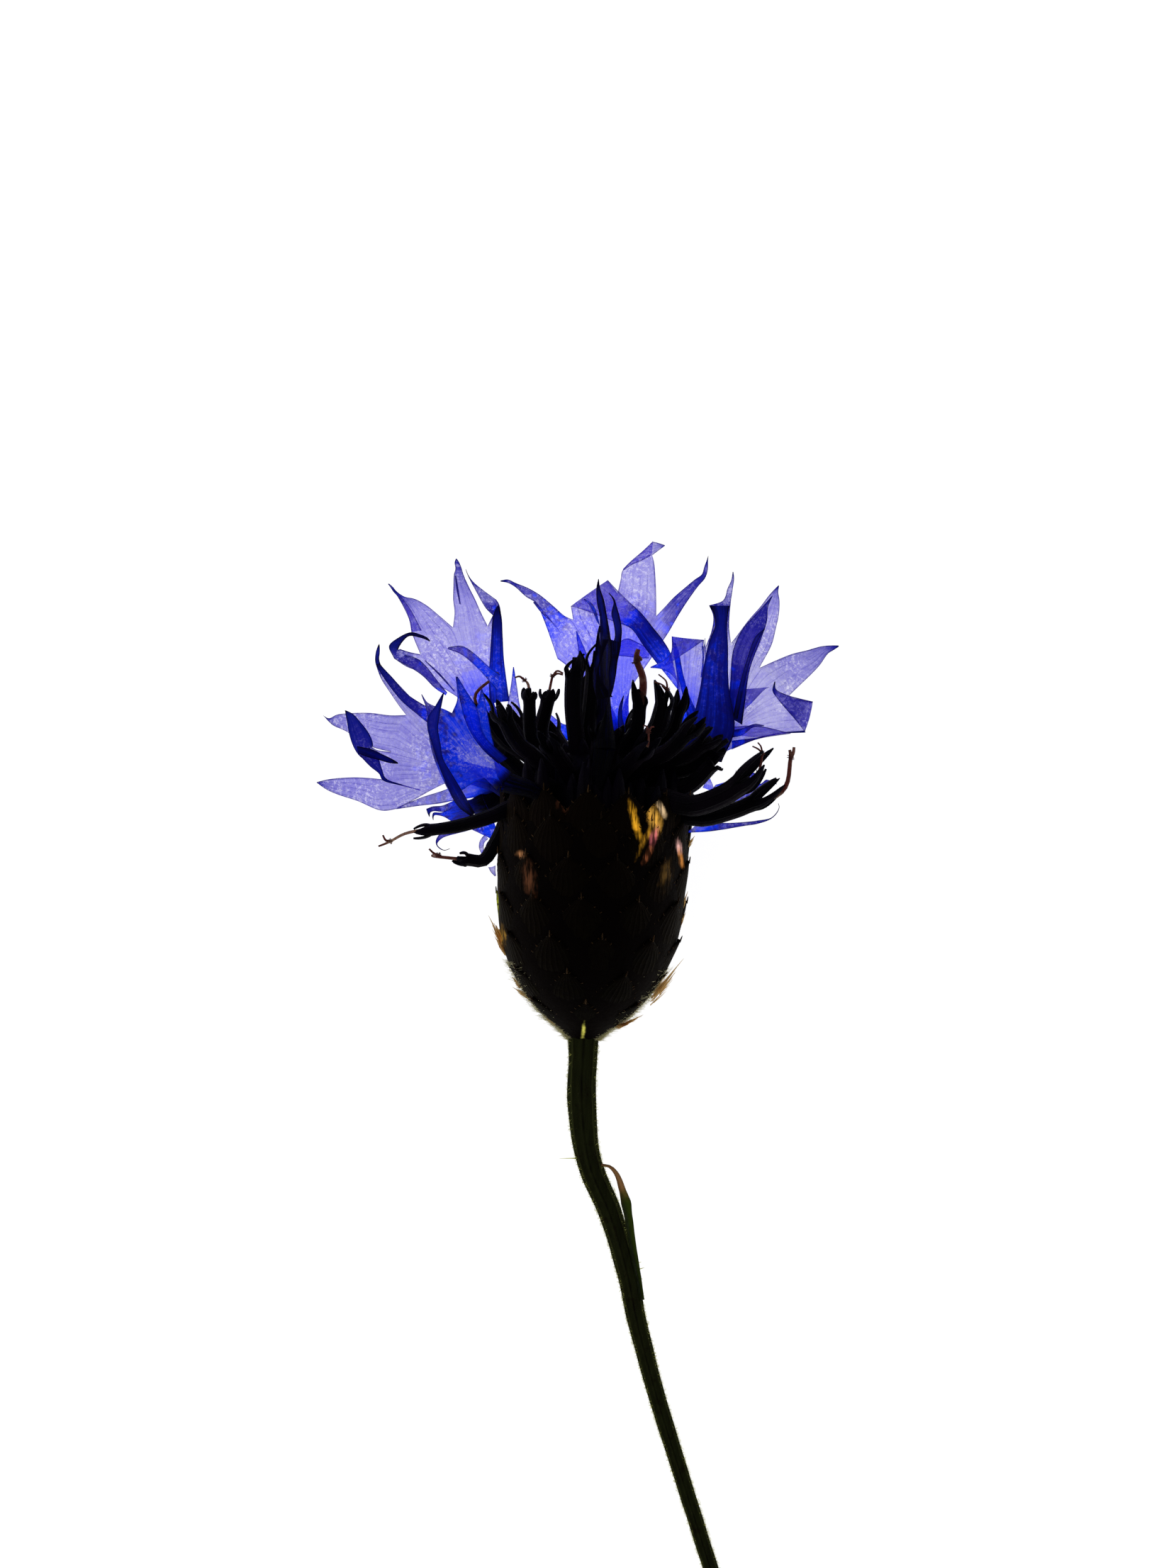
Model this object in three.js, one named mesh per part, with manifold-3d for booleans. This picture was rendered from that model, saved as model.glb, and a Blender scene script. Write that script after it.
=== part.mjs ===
// A cut cornflower (Centaurea cyanus) lying on a flat surface, in millimetres.
//
// The head's axis runs along +Y, the stem trails towards -Y, and +Z is up from the surface.
// Points below are written from the foot of the flower head: x to its right, y along its axis
// and z above the surface. The whole flower is then moved so that the origin is at the middle
// of its footprint.

import * as THREE from 'three';
import { mergeVertices } from 'three/addons/utils/BufferGeometryUtils.js';
import Module from 'manifold-3d';

const wasm = await Module();
wasm.setup();

// ---------------------------------------------------------------------------------------------
// Driving dimensions
// ---------------------------------------------------------------------------------------------

const HEAD_FOOT = new THREE.Vector3(0.38, 5.07, 0); // from the middle of the flower's footprint
const AXIS_HEIGHT = 6.6; // of the head's axis above the surface
const CLEARANCE = 0.3; // between neighbouring pieces
const BLADE = 0.6; // thickness of petals and bracts
const TIP_WIDTH = 0.34; // blunt end of every pointed lobe
const SMALLEST_EDGE = 0.002; // shorter edges left by joining are closed up

// Involucre
const HEAD_LEAN = -2.5; // degrees, of the involucre's axis away from +Y
const MOUTH_HEIGHT = 14.4; // of the involucre's rim
const FLOOR_HEIGHT = 12.6; // of the receptacle inside the rim
const RIM_THICKNESS = 0.45;

// Outer profile of the involucre's body under its bracts: [height, radius]
const URN = [
  [0.0, 0.9],
  [0.6, 1.7],
  [1.5, 2.8],
  [3.0, 4.2],
  [4.8, 5.1],
  [6.8, 5.7],
  [9.0, 6.0],
  [11.6, 6.05],
  [MOUTH_HEIGHT, 5.9],
];
const URN_SIDES = 18;

// Rows of overlapping bracts, from the foot up: [tip height, length, number, half width]
const BRACT_ROWS = [
  [2.6, 2.5, 6, 1.2],
  [4.6, 3.6, 8, 1.6],
  [7.0, 4.2, 10, 1.9],
  [9.6, 4.6, 11, 2.0],
  [12.3, 4.8, 12, 1.95],
  [15.1, 5.0, 12, 1.9],
];
const BRACT_SINK = 0.2; // of a bract's foot below the body's surface
const BRACT_LIFT = 0.35; // of its tip above that surface
const BRACT_TWIST = 0.13; // shift of each row past the last, in bracts, beyond half a bract
const BRACT_FOOT_WIDTH = 0.8; // beside the width at its middle
const BRACT_TAPER = 1.5; // power of the curve from its middle to its point

// Mound of packed floret tubes that fills the mouth: [height, radius]
const MOUND_CENTRE = new THREE.Vector3(0.6, 14.3, AXIS_HEIGHT); // where its tubes spread from
const MOUND_RADIUS = 2.8; // of the collar inside the ray florets
const MOUND = [
  [FLOOR_HEIGHT + 1.5 * CLEARANCE, 0],
  [FLOOR_HEIGHT + 1.5 * CLEARANCE, MOUND_RADIUS],
  [15.6, MOUND_RADIUS],
  [16.8, 4.1],
  [18.2, 4.1],
  [19.4, 2.9],
  [19.9, 0],
];
const MOUND_FLUTES = 11;
const FLUTE_SCALE = 0.82; // radius in a flute beside that on a ridge

// The stem: [x, y, z, radius]
const STEM = [
  [0.0, -0.35, AXIS_HEIGHT, 0.95],
  [-0.1, -4.3, 6.5, 0.93],
  [0.4, -8.2, 5.9, 0.8],
  [1.8, -11.7, 5.1, 0.76],
  [2.9, -15.5, 4.2, 0.7],
  [3.6, -19.0, 3.3, 0.62],
  [4.9, -24.0, 2.3, 0.56],
  [6.4, -28.9, 1.5, 0.52],
  [8.4, -35.3, 0.85, 0.5],
  [11.0, -43.5, 0.45, 0.5],
];
const STEM_SIDES = 8;
const STEM_STEPS = 28;

// The small leaf on the stem: [x, y, z, half width]
const STEM_LEAF = [
  [4.2, -15.2, 4.5, 0.3],
  [3.8, -12.9, 5.2, 0.42],
  [3.4, -10.7, 6.0, 0.4],
  [2.8, -9.4, 6.8, 0.28],
  [1.6, -8.6, 7.5, 0.2],
];
const STEM_LEAF_FACE = [0.5, 0, 1];
const STEM_LEAF_STEPS = 8;

// ---------------------------------------------------------------------------------------------
// Ray florets
//
// Each one is a tube that stands in the mouth and opens into a fan of pointed lobes. A fan has
// one shoulder more than it has tips: the shoulders are the two side corners with the notches
// between them. Straps are lobes that fold or curl away from the fan: each leaves a lobe at
// (lobe, across, along) and passes through its points, [x, y, z, half width].
// ---------------------------------------------------------------------------------------------

const RAY_RING = 4.0; // radius at which the tubes stand in the mouth
const RAY_TUBE = { radii: [0.38, 0.4, 0.5, 0.8], neck: 1.4, sides: 6, steps: 6 };
const THROAT_HALF_WIDTH = 0.75;
const FAN_STRAIGHTNESS = 0.5; // part of the way to a shoulder that an edge runs straight ahead
const LOBE_BULGE = 0.38; // of a lobe's edges, beside its half width
const LOBE_BELLY = 0.45; // place of that bulge between shoulder and tip
const GUTTER = 0.12; // depth of a lobe's fold beside its width
const LOBE_CELLS = { across: 2, along: 6 };
const STRAP_STEPS = 4;
const RAYS = [
  {
    name: 'ray_floret_left',
    ringAngle: 182,
    bend: [-4.7, 16.1, 6.4],
    throat: [-5.9, 17.3, 5.9],
    shoulders: [[-12.4, 15.5, 1.9], [-12.9, 17.7, 2.4], [-12.0, 20.0, 2.6], [-9.3, 21.2, 4.0]],
    tips: [[-18.1, 17.1, 0.26], [-15.2, 19.2, 1.6], [-17.5, 21.6, 0.7]],
    straps: [
      {
        from: [1, 0.5, 0.62],
        points: [[-14.9, 19.4, 3.3, 0.55], [-15.5, 20.6, 3.6, 0.5], [-16.1, 21.9, 3.2, 0.2]],
      },
      {
        from: [2, 0.9, 0.42],
        points: [[-12.0, 22.9, 4.6, 0.6], [-13.5, 24.4, 4.6, 0.45], [-13.7, 26.4, 3.9, 0.18]],
      },
    ],
  },
  {
    name: 'ray_floret_upper_left',
    ringAngle: 219,
    bend: [-4.1, 16.4, 3.2],
    throat: [-5.2, 19.2, 3.2],
    shoulders: [
      [-10.2, 23.0, 2.3], [-11.2, 26.2, 1.6], [-8.8, 27.5, 1.5],
      [-6.7, 27.7, 1.5], [-5.5, 26.4, 2.0],
    ],
    tips: [[-10.9, 24.9, 1.9], [-13.2, 30.5, 0.9], [-8.6, 32.3, 0.8], [-5.7, 29.3, 1.6]],
    straps: [
      {
        from: [0, 0.5, 0.62],
        points: [[-12.4, 25.6, 2.6, 0.5], [-12.0, 26.8, 3.3, 0.4], [-10.4, 26.7, 3.5, 0.18]],
      },
      {
        from: [3, 0.5, 0.7],
        points: [[-6.3, 29.2, 2.6, 0.55], [-7.2, 30.4, 2.9, 0.35], [-7.9, 31.6, 2.7, 0.16]],
      },
    ],
  },
  {
    name: 'ray_floret_front_left',
    ringAngle: 122,
    bend: [-3.0, 16.4, 11.4],
    throat: [-5.0, 17.4, 11.8],
    shoulders: [
      [-9.0, 16.6, 11.2], [-10.1, 20.3, 11.0], [-9.0, 21.9, 11.6],
      [-7.5, 21.7, 12.1], [-5.9, 19.7, 12.4],
    ],
    tips: [[-10.5, 18.3, 10.4], [-10.5, 22.8, 10.4], [-8.6, 24.0, 11.6], [-6.9, 23.4, 12.9]],
    straps: [
      { from: [2, 0.5, 0.6], points: [[-7.9, 24.0, 13.2, 0.6], [-8.6, 26.1, 13.6, 0.18]] },
    ],
  },
  {
    name: 'ray_floret_back',
    ringAngle: 268,
    bend: [0.2, 16.6, 1.6],
    throat: [0.9, 20.4, 1.9],
    shoulders: [
      [-1.5, 25.0, 1.4], [-0.8, 28.2, 1.2], [2.3, 30.0, 1.2],
      [4.9, 28.4, 1.2], [5.0, 25.6, 1.4],
    ],
    tips: [[-5.6, 30.7, 0.6], [-0.2, 29.4, 1.0], [4.9, 33.4, 0.26], [8.5, 32.4, 0.8]],
    sways: { 0: [1.1, 0.9, 0], 3: [0.5, -0.7, 0] },
    straps: [
      {
        from: [1, 0.5, 0.8],
        points: [[1.4, 29.9, 2.2, 0.9], [3.6, 27.9, 2.7, 0.8], [5.6, 25.7, 2.9, 0.4]],
      },
      { from: [2, 0.3, 0.86], points: [[4.6, 33.0, 1.6, 0.4], [5.6, 33.2, 1.9, 0.16]] },
    ],
  },
  {
    name: 'ray_floret_upper_right',
    ringAngle: 308,
    bend: [4.5, 16.4, 3.0],
    throat: [6.3, 19.2, 3.8],
    shoulders: [[6.3, 22.2, 4.2], [6.0, 25.4, 4.4], [7.6, 26.2, 4.4], [8.4, 23.0, 4.3]],
    tips: [[4.6, 24.9, 4.6], [6.2, 27.1, 4.4], [8.1, 26.8, 4.4]],
    straps: [
      { from: [1, 0.5, 0.75], points: [[6.9, 26.3, 5.3, 0.7], [6.0, 25.1, 5.6, 0.2]] },
    ],
  },
  {
    name: 'ray_floret_right',
    ringAngle: 337,
    bend: [5.3, 15.9, 4.9],
    throat: [7.6, 17.8, 5.6],
    shoulders: [
      [11.2, 19.4, 5.4], [13.7, 22.6, 3.6], [11.8, 24.8, 4.3],
      [9.9, 26.5, 5.5], [8.2, 25.4, 6.2],
    ],
    tips: [[14.9, 20.9, 3.2], [17.3, 26.4, 0.26], [13.1, 30.4, 2.7], [9.8, 31.2, 5.2]],
    sways: { 3: [0.3, -0.3, 0] },
    straps: [
      { from: [0, 0.5, 0.86], points: [[14.9, 22.0, 4.2, 0.8], [12.9, 23.7, 4.9, 0.2]] },
      {
        from: [3, 0.3, 0.6],
        points: [[8.3, 26.6, 7.4, 0.65], [8.6, 28.9, 7.5, 0.5], [10.0, 31.0, 6.6, 0.18]],
      },
    ],
  },
  {
    name: 'ray_floret_front',
    ringAngle: 86,
    bend: [0.9, 16.4, 11.9],
    throat: [1.4, 19.4, 12.4],
    shoulders: [[1.5, 22.4, 11.0], [1.4, 25.6, 10.9], [1.6, 25.8, 12.8], [1.9, 24.4, 14.6]],
    tips: [[0.0, 27.5, 10.4], [0.9, 30.4, 12.0], [1.8, 29.4, 14.0]],
    straps: [],
  },
  {
    name: 'ray_floret_low_right',
    ringAngle: 10,
    bend: [5.8, 16.5, 7.0],
    throat: [7.8, 15.6, 6.3],
    shoulders: [
      [9.4, 17.1, 2.6], [10.3, 16.4, 3.4], [10.6, 15.6, 4.6],
      [10.4, 14.8, 6.0], [9.4, 14.2, 7.2],
    ],
    tips: [[10.9, 18.4, 1.6], [12.8, 17.0, 2.8], [13.1, 15.7, 4.8], [12.3, 14.7, 7.2]],
    straps: [],
  },
  {
    name: 'ray_floret_low_left',
    ringAngle: 200,
    bend: [-5.0, 16.1, 4.8],
    throat: [-6.9, 15.0, 4.4],
    shoulders: [[-8.2, 14.6, 6.4], [-9.3, 14.2, 4.6], [-9.2, 13.9, 3.0], [-8.2, 13.9, 1.6]],
    tips: [[-10.6, 14.9, 5.6], [-11.2, 13.6, 3.3], [-10.1, 12.9, 1.0]],
    straps: [
      { from: [2, 0.6, 0.5], points: [[-8.4, 12.6, 1.6, 0.4], [-7.9, 11.2, 2.2, 0.18]] },
    ],
  },
];

// ---------------------------------------------------------------------------------------------
// Disc florets: the points that a tube passes after it leaves the mound, the last of them its
// mouth, and the end of the style where one stands out
// ---------------------------------------------------------------------------------------------

const DISC_FLORETS = [
  { path: [[-3.2, 18.6, 7.7], [-5.8, 21.0, 8.4]], style: [-6.2, 24.3, 9.2] },
  { path: [[-2.5, 19.0, 6.6], [-4.7, 21.5, 6.7]] },
  { path: [[-1.9, 19.3, 8.4], [-3.6, 21.6, 9.4]], style: [-4.4, 24.2, 10.4] },
  { path: [[-1.2, 19.4, 6.3], [-2.5, 21.9, 5.9]], style: [-1.6, 24.6, 6.1] },
  { path: [[-0.1, 20.0, 7.7], [-0.7, 23.6, 8.6]] },
  { path: [[0.5, 20.0, 6.2], [0.6, 23.9, 5.6]] },
  { path: [[1.2, 20.0, 7.5], [1.9, 23.2, 7.8]] },
  { path: [[2.3, 19.2, 8.4], [3.2, 21.9, 9.8]], style: [3.5, 26.0, 10.9] },
  { path: [[2.9, 19.2, 6.6], [4.3, 22.3, 6.8]] },
  { path: [[3.8, 18.7, 7.8], [5.7, 21.5, 9.0]], style: [5.0, 24.3, 10.2] },
  { path: [[3.2, 18.0, 9.8], [6.7, 19.9, 12.2]] },
  { path: [[4.2, 18.2, 8.4], [8.0, 19.8, 9.7]] },
  { path: [[4.6, 17.5, 9.4], [7.6, 17.8, 10.9], [10.7, 18.2, 11.0]], style: [11.9, 20.0, 11.2] },
  { path: [[4.7, 17.4, 8.3], [8.0, 17.1, 9.1], [11.5, 16.6, 8.9]], style: [13.9, 19.2, 9.6] },
  { path: [[-3.7, 16.7, 8.0], [-6.4, 16.2, 8.7], [-9.6, 14.5, 8.9]], style: [-13.6, 13.0, 8.2] },
  { path: [[-3.4, 16.7, 9.0], [-6.0, 16.0, 10.2], [-7.9, 12.9, 10.6]], style: [-10.0, 12.7, 10.9] },
  { path: [[-0.9, 17.6, 9.9], [-2.0, 19.6, 12.4]] },
  { path: [[2.2, 17.4, 10.1], [3.7, 19.3, 12.9]], style: [4.6, 21.2, 15.0] },
  { path: [[-0.8, 18.4, 4.9], [-2.0, 20.6, 3.9]] },
  { path: [[1.8, 18.0, 4.6], [3.4, 20.6, 4.3]] },
];
const DISC_TUBE = { root: 0.6, foot: 0.6, mouth: 0.78, steps: 2 };

// Claws at a tube's mouth. Beside their length: the height of a claw's bend, of the two rings
// of the notches between claws, and of the dish in the mouth. Beside the mouth: the lip's radius.
const CLAWS = { count: 5, length: 2.2, flare: 0.3, hook: 0.7 };
const CLAW_SHAPE = { bend: 0.55, notch: 0.12, rise: 0.17, dish: 0.1, lip: 0.75 };
const STYLE = { radius: 0.28, root: 0.8, knee: 0.55, sides: 4, steps: 3 };
const FORK = { length: 0.45, spread: 0.42, radius: 0.2, root: 0.3, sides: 3 };

const MATERIALS = {
  petal: new THREE.MeshStandardMaterial({ color: 0x4a46b8, roughness: 0.6, metalness: 0 }),
  disc: new THREE.MeshStandardMaterial({ color: 0x1a1238, roughness: 0.6, metalness: 0 }),
  bract: new THREE.MeshStandardMaterial({ color: 0x2c2413, roughness: 0.8, metalness: 0 }),
  stem: new THREE.MeshStandardMaterial({ color: 0x2a3317, roughness: 0.8, metalness: 0 }),
};

// ---------------------------------------------------------------------------------------------
// Solids
// ---------------------------------------------------------------------------------------------

const vector = ([x, y, z]) => new THREE.Vector3(x, y, z);
const between = (a, b, t) => a.clone().lerp(b, t);

// A closed geometry as a solid that can be joined and cut.
function solid(geometry) {
  geometry.deleteAttribute('normal');
  geometry.deleteAttribute('uv');
  const merged = mergeVertices(geometry, 1e-5);
  return new wasm.Manifold(new wasm.Mesh({
    numProp: 3,
    vertProperties: merged.attributes.position.array,
    triVerts: Uint32Array.from(merged.index.array),
  }));
}

// Joins solids that touch or cross. Hollows sealed inside the joint are filled.
function join(solids) {
  const whole = solids.reduce((sum, next) => sum.add(next)).simplify(SMALLEST_EDGE);
  const bodies = whole.decompose();
  return bodies.reduce((largest, next) => (next.volume() > largest.volume() ? next : largest));
}

const ABOVE_SURFACE = solid(new THREE.BoxGeometry(200, 200, 100).translate(0, 0, 50));

// A named piece. What would dip below the surface is pressed flat against it.
function piece(name, shape, material) {
  const { vertProperties, triVerts } = join([shape.intersect(ABOVE_SURFACE)]).getMesh();
  const geometry = new THREE.BufferGeometry();
  geometry.setAttribute('position', new THREE.BufferAttribute(vertProperties, 3));
  geometry.setIndex(new THREE.BufferAttribute(triVerts, 1));
  geometry.computeVertexNormals();
  const mesh = new THREE.Mesh(geometry, material.clone());
  mesh.name = name;
  return mesh;
}

// A thin sheet: a flat box whose (across, along, through) run is bent by place().
function sheet(place, across, along) {
  const box = new THREE.BoxGeometry(1, 1, 1, across, along, 1);
  const corners = box.attributes.position;
  for (let i = 0; i < corners.count; i += 1) {
    const point = place(corners.getX(i) + 0.5, corners.getY(i) + 0.5, corners.getZ(i));
    corners.setXYZ(i, point.x, point.y, point.z);
  }
  return solid(box);
}

// A strap along a curve. Its width lies square to face, and halfWidths follow the points.
function strap(points, halfWidths, face, along, thickness = BLADE) {
  const spine = new THREE.CatmullRomCurve3(points);
  return sheet((u, v, w) => {
    const tangent = spine.getTangent(v);
    const side = tangent.clone().cross(face).normalize();
    const normal = side.clone().cross(tangent);
    return spine.getPoint(v)
      .addScaledVector(side, (2 * u - 1) * Math.max(valueAlong(halfWidths, v), TIP_WIDTH / 2))
      .addScaledVector(normal, w * thickness);
  }, 1, along);
}

// The outline of a turned solid from its [height, radius] pairs.
function outlineOf(profile) {
  return profile.map(([height, radius]) => new THREE.Vector2(radius, height));
}

// The value at t (0 to 1) along a list of evenly spaced values.
function valueAlong(values, t) {
  const place = t * (values.length - 1);
  const step = Math.min(Math.floor(place), values.length - 2);
  return THREE.MathUtils.lerp(values[step], values[step + 1], place - step);
}

// A round, closed tube along a curve, whose radii follow the points.
function tube(points, radii, sides, steps) {
  const spine = new THREE.CatmullRomCurve3(points);
  const frames = spine.computeFrenetFrames(steps);
  const can = new THREE.CylinderGeometry(1, 1, 1, sides, steps);
  const corners = can.attributes.position;
  for (let i = 0; i < corners.count; i += 1) {
    const t = corners.getY(i) + 0.5;
    const step = Math.round(t * steps);
    const radius = valueAlong(radii, t);
    const point = spine.getPointAt(t)
      .addScaledVector(frames.normals[step], corners.getZ(i) * radius)
      .addScaledVector(frames.binormals[step], corners.getX(i) * radius);
    corners.setXYZ(i, point.x, point.y, point.z);
  }
  return solid(can);
}

// ---------------------------------------------------------------------------------------------
// Involucre: an urn covered with overlapping pointed bracts, with an open mouth
// ---------------------------------------------------------------------------------------------

// The radius of the urn's body at a height, which stays that of the rim above it.
function urnRadius(height) {
  const level = Math.min(height, MOUTH_HEIGHT);
  const above = Math.max(1, URN.findIndex(([h]) => h >= level));
  const [h0, r0] = URN[above - 1];
  const [h1, r1] = URN[above];
  return THREE.MathUtils.lerp(r0, r1, (level - h0) / (h1 - h0));
}

// A bract widens a little to its middle and then narrows to a point that lifts off the urn.
function bract(angle, tipHeight, length, halfWidth) {
  return sheet((u, v, w) => {
    const height = tipHeight - length * (1 - v);
    const outline = v < 0.5
      ? THREE.MathUtils.lerp(BRACT_FOOT_WIDTH, 1, 2 * v)
      : 1 - (2 * v - 1) ** BRACT_TAPER;
    const width = Math.max(halfWidth * outline, TIP_WIDTH / 2);
    const lift = THREE.MathUtils.lerp(-BRACT_SINK, BRACT_LIFT, v);
    const radius = urnRadius(height) + lift + w * BLADE;
    const turn = angle + ((2 * u - 1) * width) / urnRadius(height);
    return new THREE.Vector3(radius * Math.sin(turn), height, radius * Math.cos(turn));
  }, 2, 3);
}

function involucre() {
  const rim = urnRadius(MOUTH_HEIGHT) - RIM_THICKNESS;
  const profile = [
    [0, 0],
    ...URN,
    [MOUTH_HEIGHT, rim],
    [FLOOR_HEIGHT, rim - RIM_THICKNESS],
    [FLOOR_HEIGHT, 0],
  ];
  const body = solid(new THREE.LatheGeometry(outlineOf(profile), URN_SIDES));
  const bracts = BRACT_ROWS.flatMap(([tipHeight, length, number, halfWidth], row) => (
    Array.from({ length: number }, (_, i) => {
      const angle = ((i + 0.5 * (row % 2) + BRACT_TWIST * row) / number) * 2 * Math.PI;
      return bract(angle, tipHeight, length, halfWidth);
    })
  ));
  return join([body, ...bracts])
    .rotate([0, 0, HEAD_LEAN])
    .translate([0, 0, AXIS_HEIGHT]);
}

// ---------------------------------------------------------------------------------------------
// Ray florets
// ---------------------------------------------------------------------------------------------

// The middle surface of one lobe of a fan: place(lobe, u, v), u across it and v along it.
function fanSurface({ throat, shoulders, tips, sways = {} }) {
  const start = vector(throat);
  const corners = shoulders.map(vector);
  const ends = tips.map(vector);
  const heading = ends.reduce((sum, end) => sum.add(end).sub(start), new THREE.Vector3()).normalize();
  const spread = corners.at(-1).clone().sub(corners[0]);
  const face = spread.clone().cross(heading).normalize();
  const side = heading.clone().cross(face).normalize();
  const edge = (index, end, centre, sway, v) => {
    const corner = corners[index];
    if (v <= 0.5) {
      const shift = (2 * index) / (corners.length - 1) - 1;
      const foot = start.clone().addScaledVector(side, THROAT_HALF_WIDTH * shift);
      const ahead = FAN_STRAIGHTNESS * foot.distanceTo(corner);
      const pull = foot.clone().addScaledVector(heading, ahead);
      return new THREE.QuadraticBezierCurve3(foot, pull, corner).getPoint(2 * v);
    }
    const out = corner.clone().sub(centre);
    const pull = between(corner, end, LOBE_BELLY).addScaledVector(out, LOBE_BULGE).add(sway);
    const tip = end.clone().addScaledVector(out.normalize(), TIP_WIDTH / 2);
    return new THREE.QuadraticBezierCurve3(corner, pull, tip).getPoint(2 * v - 1);
  };
  const place = (lobe, u, v) => {
    const centre = between(corners[lobe], corners[lobe + 1], 0.5);
    const sway = vector(sways[lobe] ?? [0, 0, 0]);
    const near = edge(lobe, ends[lobe], centre, sway, v);
    const far = edge(lobe + 1, ends[lobe], centre, sway, v);
    if (u === 0 || u === 1) {
      return u === 0 ? near : far;
    }
    const gutter = GUTTER * near.distanceTo(far) * Math.sin(Math.PI * u);
    return near.lerp(far, u).addScaledVector(face, gutter);
  };
  return { place, face };
}

function rayFloret(ray) {
  const fan = fanSurface(ray);
  const lobes = ray.tips.map((_, lobe) => sheet(
    (u, v, w) => fan.place(lobe, u, v).addScaledVector(fan.face, w * BLADE),
    LOBE_CELLS.across,
    LOBE_CELLS.along,
  ));
  const ring = THREE.MathUtils.degToRad(ray.ringAngle);
  const foot = new THREE.Vector3(
    MOUND_CENTRE.x + RAY_RING * Math.cos(ring),
    FLOOR_HEIGHT + 2 * CLEARANCE,
    AXIS_HEIGHT + RAY_RING * Math.sin(ring),
  );
  const neck = foot.clone().add(new THREE.Vector3(0, RAY_TUBE.neck, 0));
  const course = [foot, neck, vector(ray.bend), vector(ray.throat)];
  const stalk = tube(course, RAY_TUBE.radii, RAY_TUBE.sides, RAY_TUBE.steps);
  const straps = ray.straps.map(({ from, points }) => strap(
    [fan.place(...from), ...points.map(vector)],
    [points[0][3], ...points.map((point) => point[3])],
    fan.face,
    STRAP_STEPS,
  ));
  return join([...lobes, stalk, ...straps]);
}

// ---------------------------------------------------------------------------------------------
// Disc florets: a mound with its tubes, each ending in hooked claws round a forked style
// ---------------------------------------------------------------------------------------------

// A closed tube whose last two rings rise into claws at every other side.
function clawedTube(points) {
  const { foot, mouth, steps } = DISC_TUBE;
  const spine = new THREE.CatmullRomCurve3(points);
  const frames = spine.computeFrenetFrames(steps);
  const sides = 2 * CLAWS.count;
  const rings = steps + 2;
  const can = new THREE.CylinderGeometry(1, 1, 1, sides, rings);
  const corners = can.attributes.position;
  for (let i = 0; i < corners.count; i += 1) {
    const ring = Math.round((corners.getY(i) + 0.5) * rings);
    const step = Math.min(ring, steps);
    const turn = Math.atan2(corners.getX(i), corners.getZ(i));
    const centred = corners.getX(i) === 0 && corners.getZ(i) === 0;
    const onClaw = Math.round((turn / Math.PI) * CLAWS.count) % 2 === 0;
    let radius = THREE.MathUtils.lerp(foot, mouth, step / steps);
    let ahead = 0;
    if (ring === steps + 1) {
      radius = onClaw ? mouth + CLAWS.flare : mouth;
      ahead = CLAWS.length * (onClaw ? CLAW_SHAPE.bend : CLAW_SHAPE.notch);
    } else if (ring === steps + 2) {
      radius = onClaw ? mouth + CLAWS.flare - CLAWS.hook : mouth * CLAW_SHAPE.lip;
      ahead = CLAWS.length * (onClaw ? 1 : CLAW_SHAPE.rise);
    }
    if (centred) {
      radius = 0;
      ahead = ring > steps ? CLAWS.length * CLAW_SHAPE.dish : 0;
    }
    const point = spine.getPointAt(step / steps)
      .addScaledVector(frames.tangents[step], ahead)
      .addScaledVector(frames.normals[step], radius * Math.cos(turn))
      .addScaledVector(frames.binormals[step], radius * Math.sin(turn));
    corners.setXYZ(i, point.x, point.y, point.z);
  }
  return solid(can);
}

function discFloret({ path, style }) {
  const points = path.map(vector);
  const outward = points[0].clone().sub(MOUND_CENTRE).normalize();
  const foot = MOUND_CENTRE.clone().addScaledVector(outward, MOUND_RADIUS - DISC_TUBE.root);
  const spine = new THREE.CatmullRomCurve3([foot, ...points]);
  const end = points.at(-1);
  const ahead = spine.getTangent(1);
  const parts = [clawedTube([foot, ...points])];
  if (style) {
    const top = vector(style);
    const start = end.clone().addScaledVector(ahead, -STYLE.root);
    const knee = end.clone().addScaledVector(ahead, end.distanceTo(top) * STYLE.knee);
    parts.push(tube([start, knee, top], [STYLE.radius, STYLE.radius], STYLE.sides, STYLE.steps));
    const lead = top.clone().sub(knee).normalize();
    const apart = lead.clone().cross(new THREE.Vector3(0, 0, 1)).normalize();
    for (const way of [-1, 1]) {
      const root = top.clone().addScaledVector(lead, -FORK.root);
      const prong = top.clone()
        .addScaledVector(lead, FORK.length)
        .addScaledVector(apart, way * FORK.spread);
      parts.push(tube([root, prong], [STYLE.radius, FORK.radius], FORK.sides, 1));
    }
  }
  return join(parts);
}

// The packed feet of the florets: a fluted knob on a plain collar.
function mound() {
  const lathe = new THREE.LatheGeometry(outlineOf(MOUND), 2 * MOUND_FLUTES);
  const corners = lathe.attributes.position;
  for (let i = 0; i < corners.count; i += 1) {
    const turn = Math.atan2(corners.getX(i), corners.getZ(i));
    const inFlute = Math.round((turn / Math.PI) * MOUND_FLUTES) % 2 !== 0;
    const scale = inFlute && corners.getY(i) > MOUTH_HEIGHT ? FLUTE_SCALE : 1;
    corners.setX(i, corners.getX(i) * scale);
    corners.setZ(i, corners.getZ(i) * scale);
  }
  return solid(lathe).translate([MOUND_CENTRE.x, 0, MOUND_CENTRE.z]);
}

function discFlorets() {
  return join([mound(), ...DISC_FLORETS.map(discFloret)]);
}

// ---------------------------------------------------------------------------------------------
// Stem and its leaf
// ---------------------------------------------------------------------------------------------

function stem() {
  return tube(STEM.map(vector), STEM.map((station) => station[3]), STEM_SIDES, STEM_STEPS);
}

function stemLeaf() {
  const face = vector(STEM_LEAF_FACE).normalize();
  const halfWidths = STEM_LEAF.map((station) => station[3]);
  return strap(STEM_LEAF.map(vector), halfWidths, face, STEM_LEAF_STEPS);
}

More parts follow.
